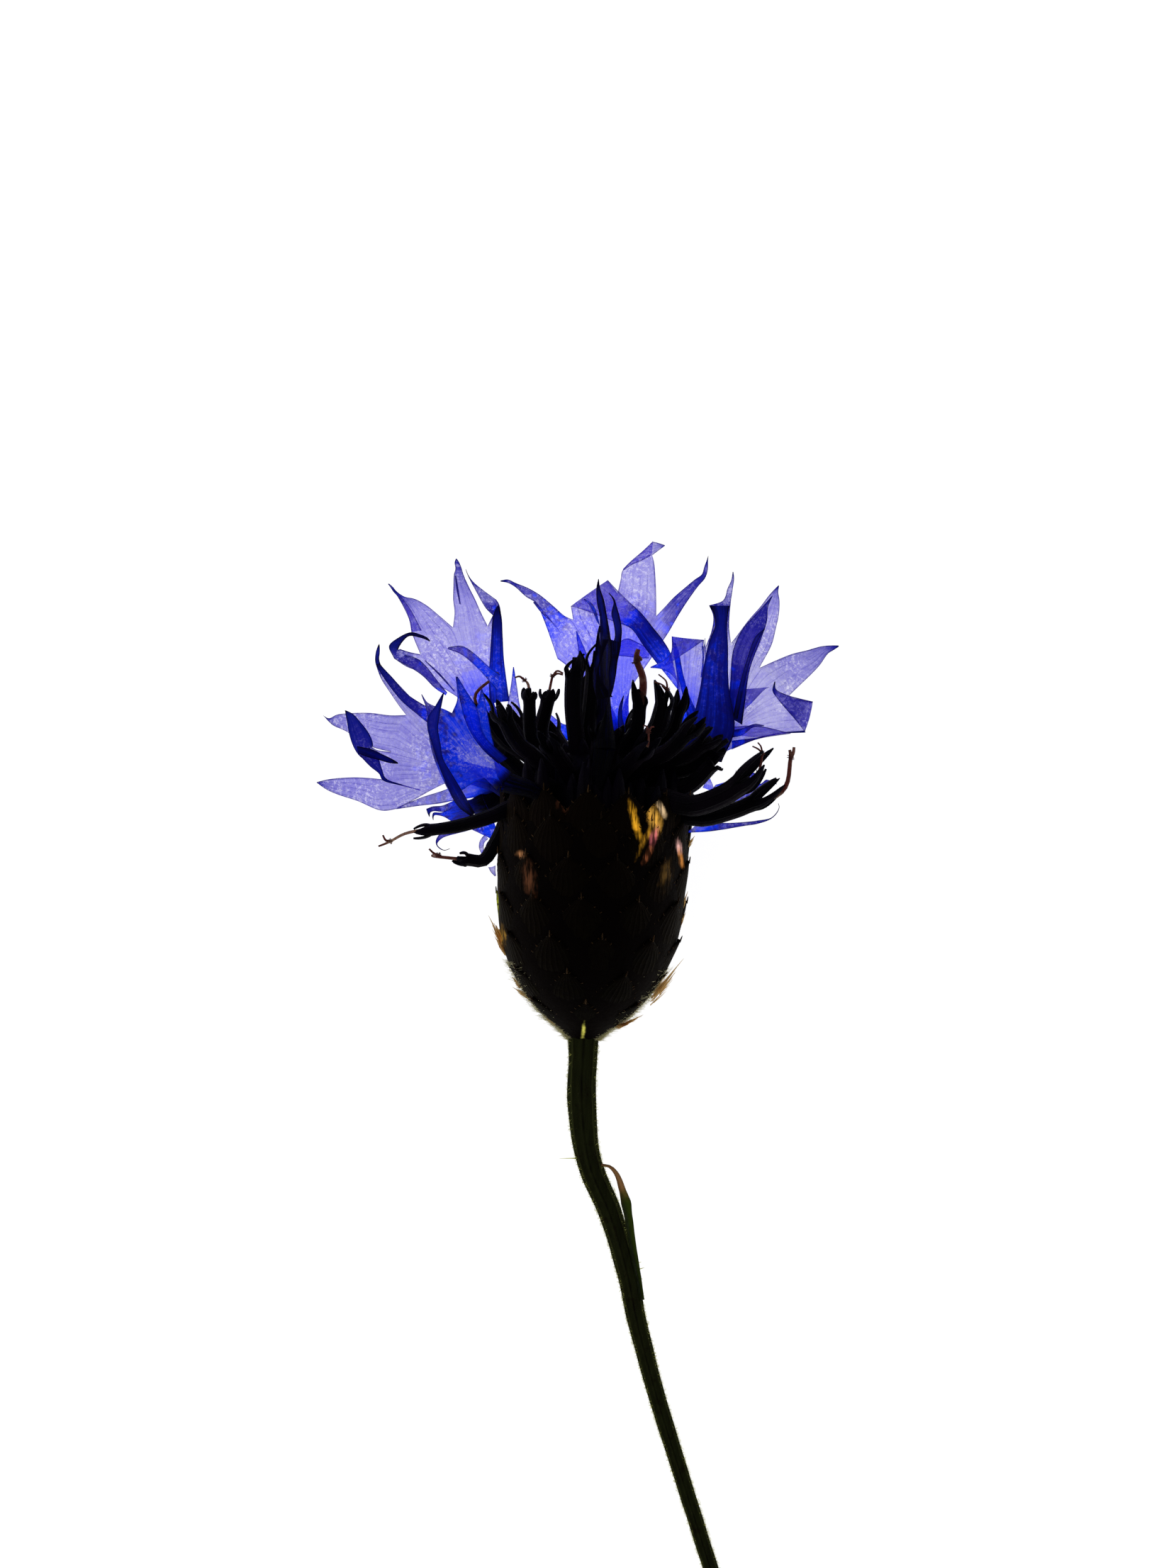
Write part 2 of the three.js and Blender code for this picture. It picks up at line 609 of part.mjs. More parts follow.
// ---------------------------------------------------------------------------------------------
// The flower
// ---------------------------------------------------------------------------------------------

const flower = new THREE.Group();
flower.add(piece('stem', stem(), MATERIALS.stem));
flower.add(piece('stem_leaf', stemLeaf(), MATERIALS.stem));
flower.add(piece('involucre', involucre(), MATERIALS.bract));
flower.add(piece('disc_florets', discFlorets(), MATERIALS.disc));
for (const ray of RAYS) {
  flower.add(piece(ray.name, rayFloret(ray), MATERIALS.petal));
}

flower.position.copy(HEAD_FOOT);

export default flower;
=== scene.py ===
"""A cut cornflower lying on a pale, softly glowing surface.

Points are written in millimetres from the foot of the flower head: x to its right, y along its
axis and z above the surface. Each piece is built there and then moved into the frame of the
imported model, in metres.
"""

import math
import random

import bmesh
import bpy
from mathutils import Matrix, Vector, noise


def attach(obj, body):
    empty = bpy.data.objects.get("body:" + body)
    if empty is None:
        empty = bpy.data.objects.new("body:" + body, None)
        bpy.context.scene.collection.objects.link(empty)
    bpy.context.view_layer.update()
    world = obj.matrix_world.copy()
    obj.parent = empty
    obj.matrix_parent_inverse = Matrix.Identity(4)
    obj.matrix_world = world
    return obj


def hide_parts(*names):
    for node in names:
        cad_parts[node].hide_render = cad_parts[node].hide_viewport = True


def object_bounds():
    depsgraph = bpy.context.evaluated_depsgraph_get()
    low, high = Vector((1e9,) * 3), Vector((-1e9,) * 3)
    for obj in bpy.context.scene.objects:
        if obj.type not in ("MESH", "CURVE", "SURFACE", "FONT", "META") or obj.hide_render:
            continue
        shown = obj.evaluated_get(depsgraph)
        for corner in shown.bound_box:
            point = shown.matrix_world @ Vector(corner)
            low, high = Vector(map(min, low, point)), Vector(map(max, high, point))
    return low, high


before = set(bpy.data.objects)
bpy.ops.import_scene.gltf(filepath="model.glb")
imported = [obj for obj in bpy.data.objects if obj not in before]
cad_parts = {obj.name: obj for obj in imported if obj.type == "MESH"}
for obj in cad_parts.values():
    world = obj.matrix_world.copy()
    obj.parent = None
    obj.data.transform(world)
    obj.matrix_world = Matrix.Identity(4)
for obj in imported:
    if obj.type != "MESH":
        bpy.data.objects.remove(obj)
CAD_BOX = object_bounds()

bl_info = {
    "name": "Cornflower",
    "version": (1, 0, 0),
    "blender": (4, 5, 0),
    "location": "3D View > Sidebar > Cornflower",
    "description": "Dresses a cut cornflower: see-through petals, florets, bracts, stem and hairs",
    "category": "Object",
}

MM = 0.001
HEAD_FOOT = Vector((0.38, 5.07, 0.0))  # from the middle of the flower's footprint
INTO_FRAME = Matrix.Scale(MM, 4) @ Matrix.Translation(HEAD_FOOT)
AXIS_HEIGHT = 6.6  # of the head's axis above the surface
PETAL_GAP = 0.04  # least height of a petal over the surface
BRISTLE_GAP = 0.03  # the same of bristles, felt and torn tips
HAIR_GAP = 0.02  # the same of stem hairs
MERGED = 1e-4  # points nearer than this are one
GOLDEN_TURN = math.pi * (3 - math.sqrt(5))
BLACK = (0.0, 0.0, 0.0, 1.0)
WHITE = (1.0, 1.0, 1.0, 1.0)

# Stage
SURFACE_SIZE = 3.0  # metres
SURFACE_DROP = 0.02  # of the surface under the flower's lowest point
LAMP_SIZE = 0.3  # metres
LAMP_PLACE = Vector((-0.22, 0.2, 0.4))  # metres, from the middle of the flower

# Involucre
HEAD_LEAN = -3.0  # degrees, of the involucre's axis away from +Y
MOUTH_HEIGHT = 14.4
FLOOR_HEIGHT = 12.6
RIM_THICKNESS = 0.45
HEAD_TURN = Matrix.Translation((0, 0, AXIS_HEIGHT)) @ Matrix.Rotation(math.radians(HEAD_LEAN), 4, "Z")
URN_MIDDLE = HEAD_TURN @ Vector((0, 8.0, 0))

# Outer profile of the involucre's body under its bracts: (height, radius)
URN = [
    (0.0, 0.9), (0.55, 1.55), (1.1, 2.35), (1.9, 3.25), (3.0, 4.2), (4.8, 5.25),
    (6.8, 5.92), (9.0, 6.22), (11.6, 6.32), (MOUTH_HEIGHT, 6.3),
]
URN_STEPS = 72

# Rows of overlapping bracts, from the foot up: (tip height, length, number, half width)
BRACT_ROWS = [
    (2.6, 2.5, 6, 1.2),
    (4.6, 3.6, 8, 1.6),
    (7.0, 4.2, 10, 1.9),
    (9.6, 4.6, 11, 2.0),
    (12.3, 4.8, 12, 1.95),
    (15.0, 5.0, 12, 1.9),
    (16.7, 4.6, 14, 1.7),
]
BRACT_SINK = 0.2  # of a bract's foot below the body's surface
BRACT_LIFT = 0.12  # of its tip above that surface
BRACT_TWIST = 0.13  # shift of each row past the last, in bracts, beyond half a bract
BRACT_THICKNESS = 0.22
BRACT_KEEL = 0.13  # height of its rounded back over its margins
BRACT_SKEW = 0.25  # most that its tip leans aside
BRACT_FIBRES = 40  # different patterns of fibres
BRACT_CELLS = (8, 16)  # across and along it
FRINGE_SPAN = (0.42, 0.97)  # part of a bract's margin that bears bristles
FRINGE_RADII = (0.045, 0.032, 0.008)
END_BRISTLE_RADII = (0.06, 0.04, 0.01)

# Bract tips that stand out from the outline: (root, tip, half width)
TORN_TIPS = [
    ((-5.55, 6.7, 6.8), (-6.35, 8.3, 6.9), 0.17),
    ((-5.3, 5.9, 6.8), (-5.95, 6.9, 6.9), 0.1),
    ((4.8, 3.1, 6.8), (6.7, 5.4, 6.9), 0.34),
    ((-3.8, 2.9, 6.8), (-4.75, 3.5, 6.9), 0.13),
    ((-4.3, 3.6, 6.8), (-4.8, 4.2, 6.9), 0.08),
    ((2.6, 0.95, 7.2), (4.0, 1.65, 7.3), 0.1),
    ((-1.9, 1.1, 7.2), (-2.7, 1.6, 7.2), 0.12),
    ((6.95, 12.9, 6.8), (7.45, 13.6, 6.9), 0.12),
    ((6.6, 8.8, 6.8), (6.98, 9.9, 6.9), 0.07),
    ((6.45, 7.6, 6.8), (6.85, 8.5, 6.9), 0.05),
]
TIP_BRISTLES = 34
TIP_DEPTH = 0.35  # of the bristles before and behind one another
TIP_RADII = (0.035, 0.025, 0.006)
TIP_MIDRIB_RADII = (0.06, 0.04, 0.006)

# Felt on the lower bracts
FELT_HEIGHT = 5.0
FELT_SPREAD = 0.25  # radians round each side of the urn
FELT_LENGTH = (0.18, 0.4)

# Painted glow of light through thin places in the bracts, painted amber into their colour and given off
# as emission: centre, half axes, turn and colour
PAINTED_AMBER_GLOWS = [
    ((3.8, 19.7, 11.5), (0.36, 1.65, 3.6), 14, (0.8, 0.38, 0.02)),
    ((4.45, 18.4, 11.2), (0.28, 1.7, 3.6), -26, (0.42, 0.2, 0.015)),
    ((5.05, 19.8, 11.0), (0.62, 1.45, 3.6), 12, (0.78, 0.4, 0.06)),
    ((5.5, 20.6, 11.0), (0.3, 1.0, 3.6), 26, (0.8, 0.55, 0.3)),
    ((5.05, 18.7, 11.0), (0.36, 1.0, 3.6), -18, (0.55, 0.13, 0.14)),
    ((4.6, 17.4, 11.0), (0.3, 1.1, 3.6), -24, (0.34, 0.1, 0.04)),
    ((6.75, 17.95, 9.5), (0.3, 0.75, 3.8), 8, (0.7, 0.38, 0.34)),
    ((6.85, 17.2, 9.0), (0.25, 0.9, 3.6), 10, (0.4, 0.15, 0.03)),
    ((-3.75, 17.45, 11.5), (0.45, 0.4, 3.6), 0, (0.34, 0.15, 0.06)),
    ((-3.2, 15.9, 11.5), (0.6, 1.6, 3.6), 10, (0.07, 0.026, 0.012)),
    ((5.9, 16.1, 10.5), (0.6, 1.5, 3.6), -18, (0.06, 0.032, 0.008)),
    ((-0.9, 21.0, 12.5), (0.6, 0.9, 3.0), 0, (0.06, 0.02, 0.01)),
    ((-5.45, 13.9, 6.6), (0.5, 1.3, 3.0), 0, (0.24, 0.26, 0.01)),
    ((-5.1, 12.0, 6.6), (0.7, 1.2, 3.0), 14, (0.42, 0.22, 0.03)),
    ((0.42, 6.1, 7.8), (0.22, 1.2, 1.6), -5, (0.85, 0.8, 0.14)),
]

# Mound of packed tubes in the mouth: (height, radius)
MOUND_CENTRE = Vector((0.6, 14.3, AXIS_HEIGHT))
MOUND_RADIUS = 2.8
MOUND = [(13.1, 0.0), (13.1, 2.6), (15.6, 2.7), (16.8, 3.5), (18.0, 3.5), (19.0, 2.5), (19.4, 0.0)]
MOUND_STEPS = 44

# The stem: (x, y, z, radius)
STEM = [
    (0.06, 1.3, AXIS_HEIGHT, 1.0),
    (0.02, 0.1, AXIS_HEIGHT, 1.0),
    (-0.04, -1.2, 6.6, 0.93),
    (-0.1, -4.3, 6.5, 0.93),
    (0.4, -8.2, 5.9, 0.8),
    (1.8, -11.7, 5.1, 0.76),
    (2.9, -15.5, 4.2, 0.7),
    (3.6, -19.0, 3.3, 0.62),
    (4.9, -24.0, 2.3, 0.56),
    (6.4, -28.9, 1.5, 0.52),
    (8.4, -35.3, 0.85, 0.5),
    (11.0, -43.5, 0.54, 0.5),
]
STEM_RIBS = 9
STEM_STEPS = 180
STEM_SWELL = 0.05  # share of its radius by which it swells and thins

HAIR_RADII = (0.009, 0.0063, 0.0027)
HAIR_LENGTHS = (0.1, 0.14, 0.18, 0.26)
HAIR_ROOT = 0.03  # depth of a root under the skin
HAIR_STEPS = 400  # places along the stem where hairs grow
HAIR_SIDES = (0.05, 0.65)  # how steeply a hair may point up or down, so that most stand at the sides

# Hairs that stand out from the stem's edge: (start, end)
LONG_HAIRS = [
    ((0.2, -8.1, 5.9), (-1.6, -8.0, 6.1)),
    ((3.3, -15.3, 4.3), (3.9, -15.0, 4.6)),
    ((3.4, -15.7, 4.3), (4.1, -15.4, 4.4)),
    ((3.3, -15.9, 4.2), (4.0, -16.2, 4.3)),
]
LONG_HAIR_RADII = (0.05, 0.035, 0.008)

# The small leaf on the stem: (x, y, z, half width)
STEM_LEAF = [
    (3.95, -17.6, 4.1, 0.12),
    (3.72, -16.3, 4.4, 0.15),
    (3.5, -15.1, 4.8, 0.18),
    (3.3, -14.0, 5.1, 0.2),
    (3.13, -12.9, 5.4, 0.22),
    (2.97, -11.8, 5.8, 0.24),
    (2.84, -11.0, 6.1, 0.25),
    (2.7, -10.4, 6.3, 0.28),
    (2.55, -9.9, 6.4, 0.33),
    (2.38, -9.35, 6.6, 0.19),
    (2.12, -8.85, 6.9, 0.15),
    (1.75, -8.5, 7.1, 0.13),
    (1.2, -8.4, 7.1, 0.06),
]
LEAF_STEPS = 40
LEAF_THICKNESS = 0.1
LEAF_TROUGH = 0.55  # height of its margins over its middle, beside its half width
LEAF_TWIST = 1.1  # radians, in its upper half

# Ray florets. Their tubes stand in the mouth at ring_angle, bend, and open at the throat into a
# base that ends in shoulders: the corners and notches between the lobes. tones run from throat to
# shoulders: below 0 is the thinnest tissue, 0 pale, 0.4 dense, 0.7 navy and 1 black. navy and black
# are painted shade, of folded and curled tissue and of the tubes down in the mouth. A lobe is made
# of runs of stations, (x, y) of its one edge, (x, y) of the other, z and tone; each new run starts
# with a crease. The first station of a lobe is the pair of shoulders that it grows from. Folds are
# strips that lie over their floret.
RAY_RING = 4.0  # radius of the ring that their feet stand on
RAY_FOOT = 0.1  # height of their feet over the floor of the mouth
RAY_TUBE_RADII = (0.34, 0.36, 0.48, 0.72)
RAY_TUBE_CELLS = (16, 24)  # round and along a tube
RAY_NECK = 1.4  # straight part of a tube above its foot
THROAT_HALF_WIDTH = 0.75
FAN_STRAIGHTNESS = 0.5
GUTTER = 0.1  # height of the rounded tissue over its edges, beside its width
OPEN_TISSUE = 2.0  # how far from an edge tissue counts as being that has none near
BASE_ROWS = 24
LOBE_CELLS = 8
FOLD_CELLS = 6
SPAN_ROWS = 6  # of faces between two stations
FOLD_SHIFT = (0.2, 0.37)  # of the first fold's veins, and of every next one's past the last

# Where dense tissue is vivid: the middle and half axes of a ball round the disc
DISC_CENTRE = (0.6, 24.6, 6.0)
VIVID_REACH = (11.2, 10.4, 40.0)

RAYS = [
  {
    "name": "ray_floret_left", "ring_angle": 182, "bend": [-4.7, 16.1, 6.4], "throat": [-5.9, 17.3, 5.9],
    "tones": [0.6, 0.35, 0.12, 0.06, 0.04],
    "shoulders": [[-12.4, 15.4, 1.9], [-13.3, 17.35, 2.4], [-13.0, 19.2, 2.4], [-11.9, 21.7, 3.0],
                  [-9.6, 21.2, 4.0]],
    "lobes": [
      [[[-13.6, 15.25, -14.3, 17.45, 1.6, 0.04], [-15.3, 15.9, -15.5, 17.5, 1.2, 0.05],
        [-16.6, 16.35, -16.6, 17.45, 0.8, 0.09], [-17.4, 16.7, -17.3, 17.36, 0.5, 0.15],
        [-18.0, 17.1, -18.05, 17.18, 0.3, 0.45]]],
      [[[-13.8, 17.95, -13.9, 19.35, 2.4, 0.05], [-14.6, 18.6, -14.3, 19.6, 2.6, 0.25]],
       [[-15.05, 19.0, -14.15, 19.6, 2.9, 0.5], [-15.45, 19.6, -14.2, 20.0, 3.2, 0.58],
        [-15.8, 20.4, -14.5, 20.6, 3.5, 0.6], [-15.95, 21.2, -15.0, 21.2, 3.5, 0.6],
        [-16.02, 21.75, -15.5, 21.75, 3.3, 0.62], [-16.05, 22.02, -15.95, 22.0, 3.1, 0.8]]],
      [[[-14.1, 19.5, -13.0, 21.7, 2.0, 0.06], [-15.1, 20.0, -14.3, 21.85, 1.5, 0.09],
        [-16.0, 20.6, -15.6, 21.85, 1.1, 0.12], [-16.9, 21.0, -16.6, 21.75, 0.8, 0.18],
        [-17.25, 21.3, -17.2, 21.5, 0.6, 0.35], [-17.5, 21.6, -17.6, 21.7, 0.9, 0.5]]],
      [[[-12.75, 22.8, -11.3, 22.6, 3.8, 0.1], [-13.5, 23.95, -12.75, 24.1, 4.4, 0.15],
        [-13.8, 24.7, -13.5, 24.9, 4.6, 0.45], [-13.98, 25.3, -13.7, 25.4, 4.4, 0.7],
        [-13.95, 25.9, -13.68, 25.9, 4.1, 0.55], [-13.82, 26.3, -13.68, 26.25, 3.9, 0.75],
        [-13.74, 26.45, -13.7, 26.46, 3.9, 0.9]]],
    ],
    "folds": [
      [[-9.8, 20.7, -9.9, 21.9, 5.0, 0.3], [-10.7, 21.3, -10.9, 22.45, 4.9, 0.4],
       [-12.1, 22.5, -12.0, 23.25, 4.9, 0.5], [-13.1, 23.75, -12.75, 24.15, 5.0, 0.52],
       [-13.7, 24.7, -13.45, 24.9, 4.9, 0.6], [-13.9, 25.1, -13.65, 25.15, 4.8, 0.8]],
      [[-15.1, 19.1, -15.2, 19.6, 3.4, 0.7], [-14.4, 18.85, -14.2, 19.4, 3.5, 0.7],
       [-13.7, 18.65, -13.5, 19.05, 3.4, 0.7], [-13.0, 18.45, -12.9, 18.75, 3.1, 0.7],
       [-12.45, 18.4, -12.5, 18.52, 3.0, 0.85]],
      [[-15.0, 18.95, -14.7, 19.3, 3.1, 0.5], [-14.25, 18.2, -13.85, 18.9, 3.1, 0.5],
       [-13.75, 17.75, -13.55, 18.1, 3.0, 0.5], [-13.5, 17.3, -13.3, 17.45, 2.9, 0.6],
       [-12.3, 16.95, -12.3, 17.05, 2.8, 0.55], [-11.0, 16.62, -11.0, 16.68, 2.9, 0.4]],
      [[-12.6, 15.35, -12.5, 15.5, 2.4, 0.2], [-10.9, 15.6, -10.9, 16.15, 2.9, 0.16],
       [-9.6, 15.75, -9.6, 16.55, 3.6, 0.2], [-8.6, 15.95, -8.6, 16.9, 4.2, 0.2],
       [-7.3, 16.15, -7.2, 17.3, 4.8, 0.3], [-6.0, 16.5, -5.9, 17.6, 5.3, 0.6]],
    ],
  },
  {
    "name": "ray_floret_upper_left", "ring_angle": 219, "bend": [-4.1, 16.4, 3.2],
    "throat": [-5.4, 19.2, 3.2],
    "tones": [1.0, 0.75, 0.3, -0.05, -0.06],
    "shoulders": [[-11.2, 24.7, 1.9], [-11.0, 25.8, 1.8], [-8.8, 27.6, 1.5], [-6.45, 27.7, 1.5],
                  [-5.45, 27.0, 1.9]],
    "lobes": [
      [[[-11.9, 24.95, -11.7, 25.95, 2.3, 0.2], [-12.75, 25.5, -12.35, 26.15, 2.8, 0.35]],
       [[-13.08, 26.35, -12.45, 26.12, 3.3, 0.7], [-12.4, 26.92, -12.15, 26.6, 3.7, 0.72],
        [-11.6, 27.25, -11.7, 26.98, 3.8, 0.75], [-10.95, 27.1, -11.0, 26.88, 3.7, 0.75],
        [-10.5, 26.9, -10.6, 26.75, 3.6, 0.8], [-10.28, 26.66, -10.33, 26.63, 3.5, 0.9]]],
      [[[-11.6, 27.3, -9.7, 28.4, 1.3, 0.0], [-11.75, 28.1, -10.6, 29.15, 1.1, 0.02],
        [-12.1, 29.05, -11.4, 29.57, 0.9, 0.18], [-12.55, 29.7, -12.1, 29.72, 0.8, 0.35],
        [-12.85, 30.05, -12.65, 30.1, 1.0, 0.6], [-13.05, 30.35, -12.85, 30.35, 1.2, 0.3],
        [-13.2, 30.55, -13.12, 30.58, 1.4, 0.5]]],
      [[[-8.7, 28.6, -6.9, 28.6, 1.2, 0.0], [-8.8, 29.5, -7.3, 29.5, 1.0, 0.02],
        [-8.78, 30.4, -7.75, 30.4, 0.9, 0.14], [-8.75, 31.2, -8.1, 31.2, 0.8, 0.24],
        [-8.65, 31.6, -8.25, 31.7, 0.9, 0.3], [-8.7, 32.0, -8.4, 32.05, 1.1, 0.35],
        [-8.62, 32.26, -8.55, 32.27, 1.2, 0.6]]],
      [[[-6.1, 28.4, -5.5, 28.2, 2.4, 0.5]],
       [[-6.55, 28.85, -5.65, 29.1, 2.8, 0.35], [-6.9, 29.4, -5.85, 29.45, 3.0, 0.2]],
       [[-7.3, 30.15, -6.6, 30.0, 3.1, 0.2], [-7.65, 30.8, -7.4, 30.65, 3.0, 0.4],
        [-7.83, 31.2, -7.74, 31.12, 2.9, 0.8], [-7.94, 31.52, -7.9, 31.5, 2.8, 0.95]]],
    ],
    "folds": [
      [[-9.25, 23.0, -9.15, 23.2, 3.4, 0.3], [-10.0, 23.5, -9.85, 24.05, 3.3, 0.3],
       [-10.8, 24.3, -10.55, 24.95, 3.2, 0.3], [-11.6, 24.85, -11.1, 25.45, 3.1, 0.3],
       [-12.5, 25.35, -12.0, 25.75, 3.2, 0.3]],
      [[-6.3, 22.4, -4.95, 22.6, 3.6, 0.6], [-6.35, 24.0, -5.15, 23.9, 3.4, 0.45],
       [-6.3, 25.4, -5.35, 25.5, 3.2, 0.5], [-6.2, 27.0, -5.43, 27.0, 3.0, 0.55],
       [-6.1, 28.2, -5.5, 28.3, 3.0, 0.65], [-5.9, 28.9, -5.7, 29.1, 3.2, 0.75]],
      [[-11.6, 27.3, -10.9, 27.4, 2.0, 0.0], [-11.75, 28.1, -11.2, 28.0, 1.9, 0.05],
       [-12.15, 29.0, -11.7, 28.9, 1.8, 0.15], [-12.6, 29.8, -12.35, 29.75, 1.8, 0.4]],
      [[-8.66, 31.1, -8.58, 31.1, 1.6, 0.4], [-8.57, 30.2, -8.42, 30.15, 1.7, 0.3],
       [-8.36, 29.2, -8.26, 29.15, 1.8, 0.25]],
      [[-10.7, 25.35, -10.66, 25.4, 2.6, 0.2], [-9.75, 24.4, -9.65, 24.48, 2.7, 0.3],
       [-8.7, 23.25, -8.64, 23.3, 2.8, 0.2]],
      [[-5.4, 19.8, -4.2, 19.6, 4.0, 0.5], [-5.25, 21.4, -4.05, 21.2, 4.0, 0.16],
       [-5.05, 22.6, -4.3, 22.5, 4.1, 0.12], [-4.85, 23.8, -4.48, 23.8, 4.2, 0.16],
       [-4.72, 24.9, -4.66, 24.9, 4.3, 0.4]],
    ],
  },
  {
    "name": "ray_floret_front_left", "ring_angle": 122, "bend": [-3.0, 16.4, 11.4],
    "throat": [-5.2, 17.2, 11.8],
    "tones": [0.95, 0.3, 0.23, 0.38, 0.4],
    "shoulders": [[-8.7, 16.1, 11.2], [-10.2, 20.9, 11.0], [-8.7, 21.75, 11.6], [-7.1, 21.9, 12.0],
                  [-6.1, 20.3, 12.4]],
    "lobes": [
      [[[-9.1, 16.9, -10.25, 20.5, 11.0, 0.36], [-9.5, 17.8, -10.2, 19.8, 10.9, 0.4],
        [-9.7, 18.3, -9.95, 19.0, 10.9, 0.5]]],
      [[[-10.45, 22.25, -9.2, 22.0, 10.9, 0.34], [-10.62, 22.65, -10.3, 22.45, 10.8, 0.3],
        [-10.75, 23.0, -10.7, 23.0, 10.7, 0.5]]],
      [[[-8.35, 22.6, -7.75, 22.6, 11.7, 0.3], [-8.38, 23.4, -8.0, 23.4, 11.8, 0.36],
        [-8.45, 24.15, -8.38, 24.16, 11.9, 0.5]]],
      [[[-6.95, 22.4, -6.4, 22.2, 12.4, 0.4], [-6.75, 23.3, -6.65, 23.3, 12.7, 0.5]]],
    ],
    "folds": [
      [[-7.5, 14.9, -7.2, 15.1, 9.2, 0.9], [-8.35, 15.6, -7.6, 15.85, 11.0, 0.72],
       [-8.8, 16.45, -8.02, 16.65, 12.3, 0.64], [-9.25, 17.5, -8.6, 17.6, 12.5, 0.62],
       [-9.7, 18.7, -9.26, 18.75, 12.6, 0.62], [-9.97, 19.6, -9.42, 19.65, 12.6, 0.6],
       [-10.3, 20.7, -9.6, 20.7, 12.5, 0.6], [-10.25, 21.5, -9.5, 21.5, 12.5, 0.6],
       [-9.85, 22.1, -9.33, 22.4, 12.6, 0.62], [-9.35, 22.95, -9.18, 23.15, 12.7, 0.8]],
      [[-5.7, 23.2, -5.5, 24.3, 12.6, 0.5], [-6.5, 24.2, -6.2, 24.8, 12.9, 0.35],
       [-7.4, 25.1, -7.1, 25.6, 13.2, 0.3], [-8.1, 25.62, -8.0, 26.15, 13.4, 0.2],
       [-8.95, 25.95, -8.9, 26.08, 13.5, 0.25]],
      [[-8.38, 24.1, -8.3, 24.15, 12.6, 0.5], [-8.3, 23.4, -7.85, 23.4, 12.6, 0.44],
       [-8.04, 22.1, -7.0, 22.0, 12.6, 0.42], [-7.6, 20.7, -6.62, 20.4, 12.6, 0.42],
       [-6.73, 19.4, -5.96, 19.6, 12.5, 0.46], [-5.6, 18.4, -4.98, 18.75, 12.4, 0.6]],
    ],
  },
  {
    "name": "ray_floret_back", "ring_angle": 268, "bend": [1.2, 16.6, 1.6], "throat": [2.5, 20.0, 1.9],
    "tones": [0.8, 0.3, 0.18, 0.12, 0.08],
    "shoulders": [[-1.75, 25.5, 1.4], [-0.7, 28.15, 1.2], [2.3, 29.9, 1.2], [4.92, 28.4, 1.2],
                  [5.35, 26.7, 1.4]],
    "lobes": [
      [[[-2.3, 27.1, -1.25, 28.4, 1.1, 0.27], [-2.75, 28.3, -2.0, 29.05, 1.0, 0.3],
        [-3.2, 29.25, -2.9, 29.8, 0.9, 0.28], [-3.9, 29.72, -3.7, 30.28, 0.8, 0.26],
        [-4.6, 30.35, -4.6, 30.65, 0.8, 0.4], [-5.1, 30.63, -5.1, 30.87, 0.9, 0.35],
        [-5.6, 30.72, -5.6, 30.8, 1.0, 0.7]]],
      [[[-0.85, 29.05, 1.65, 30.8, 1.6, 0.0]],
       [[0.5, 28.6, 2.35, 30.05, 2.2, 0.0], [2.0, 28.0, 3.0, 29.4, 2.5, 0.04],
        [3.2, 27.5, 3.9, 28.55, 2.8, 0.5], [4.0, 26.4, 4.75, 27.5, 2.9, 0.64],
        [4.75, 25.4, 5.35, 26.75, 3.0, 0.56], [5.4, 24.6, 5.85, 25.9, 3.0, 0.42],
        [5.95, 23.9, 6.15, 24.7, 3.0, 0.22], [6.35, 23.4, 6.4, 23.6, 3.0, 0.3]]],
      [[[2.5, 30.8, 4.92, 29.6, 1.0, -0.08], [2.65, 31.5, 4.87, 31.0, 0.8, -0.06],
        [3.6, 32.4, 4.78, 32.0, 0.7, -0.04], [4.68, 33.42, 4.65, 32.5, 0.7, 0.04]],
       [[4.95, 33.36, 4.95, 32.72, 1.2, 0.08], [5.5, 33.17, 5.5, 33.12, 1.5, 0.3]]],
      [[[5.5, 29.0, 5.75, 27.3, 1.1, 0.24], [6.1, 29.65, 6.4, 28.4, 1.0, 0.34],
        [6.9, 30.35, 7.1, 29.5, 0.9, 0.34], [7.5, 30.85, 7.75, 30.4, 0.8, 0.36],
        [8.0, 31.22, 8.22, 30.95, 0.9, 0.5], [8.15, 31.7, 8.4, 31.5, 1.1, 0.25],
        [8.3, 32.1, 8.42, 32.1, 1.2, 0.45], [8.42, 32.46, 8.44, 32.46, 1.2, 0.9]]],
    ],
    "folds": [
      [[2.7, 31.45, 2.66, 31.55, 1.4, 0.0], [3.3, 31.85, 3.2, 32.1, 1.5, 0.0],
       [4.0, 32.15, 4.0, 32.78, 1.6, 0.02], [4.6, 32.5, 4.7, 33.45, 1.6, 0.06]],
      [[-3.4, 29.3, -3.25, 29.38, 1.7, 0.4], [-2.85, 28.6, -2.6, 28.6, 1.8, 0.3],
       [-2.1, 27.9, -1.9, 27.75, 1.8, 0.25], [-1.6, 27.3, -1.5, 27.2, 1.8, 0.1]],
      [[-0.4, 24.8, 0.5, 24.8, 2.4, 0.2], [-0.35, 26.0, 0.15, 26.0, 2.4, 0.2],
       [-0.45, 26.8, -0.15, 26.7, 2.4, 0.25], [-0.5, 27.35, -0.42, 27.35, 2.4, 0.4]],
      [[2.35, 20.4, 2.95, 20.4, 4.6, 0.7], [2.3, 21.5, 2.62, 21.5, 4.8, 0.6],
       [2.4, 22.3, 2.62, 22.2, 4.9, 0.6], [2.68, 23.0, 2.72, 22.95, 5.0, 0.8]],
      [[2.0, 26.3, 2.2, 25.7, 2.6, 0.14], [2.9, 26.85, 3.1, 25.6, 2.6, 0.12],
       [3.8, 26.5, 3.9, 25.5, 2.6, 0.12], [4.5, 26.1, 4.4, 25.5, 2.6, 0.14]],
      [[0.2, 19.6, 0.6, 20.5, 2.4, 0.7], [-0.9, 19.9, -0.7, 21.0, 2.6, 0.45],
       [-1.8, 20.4, -1.35, 21.1, 2.6, 0.3], [-2.4, 21.2, -2.15, 21.7, 2.6, 0.2]],
    ],
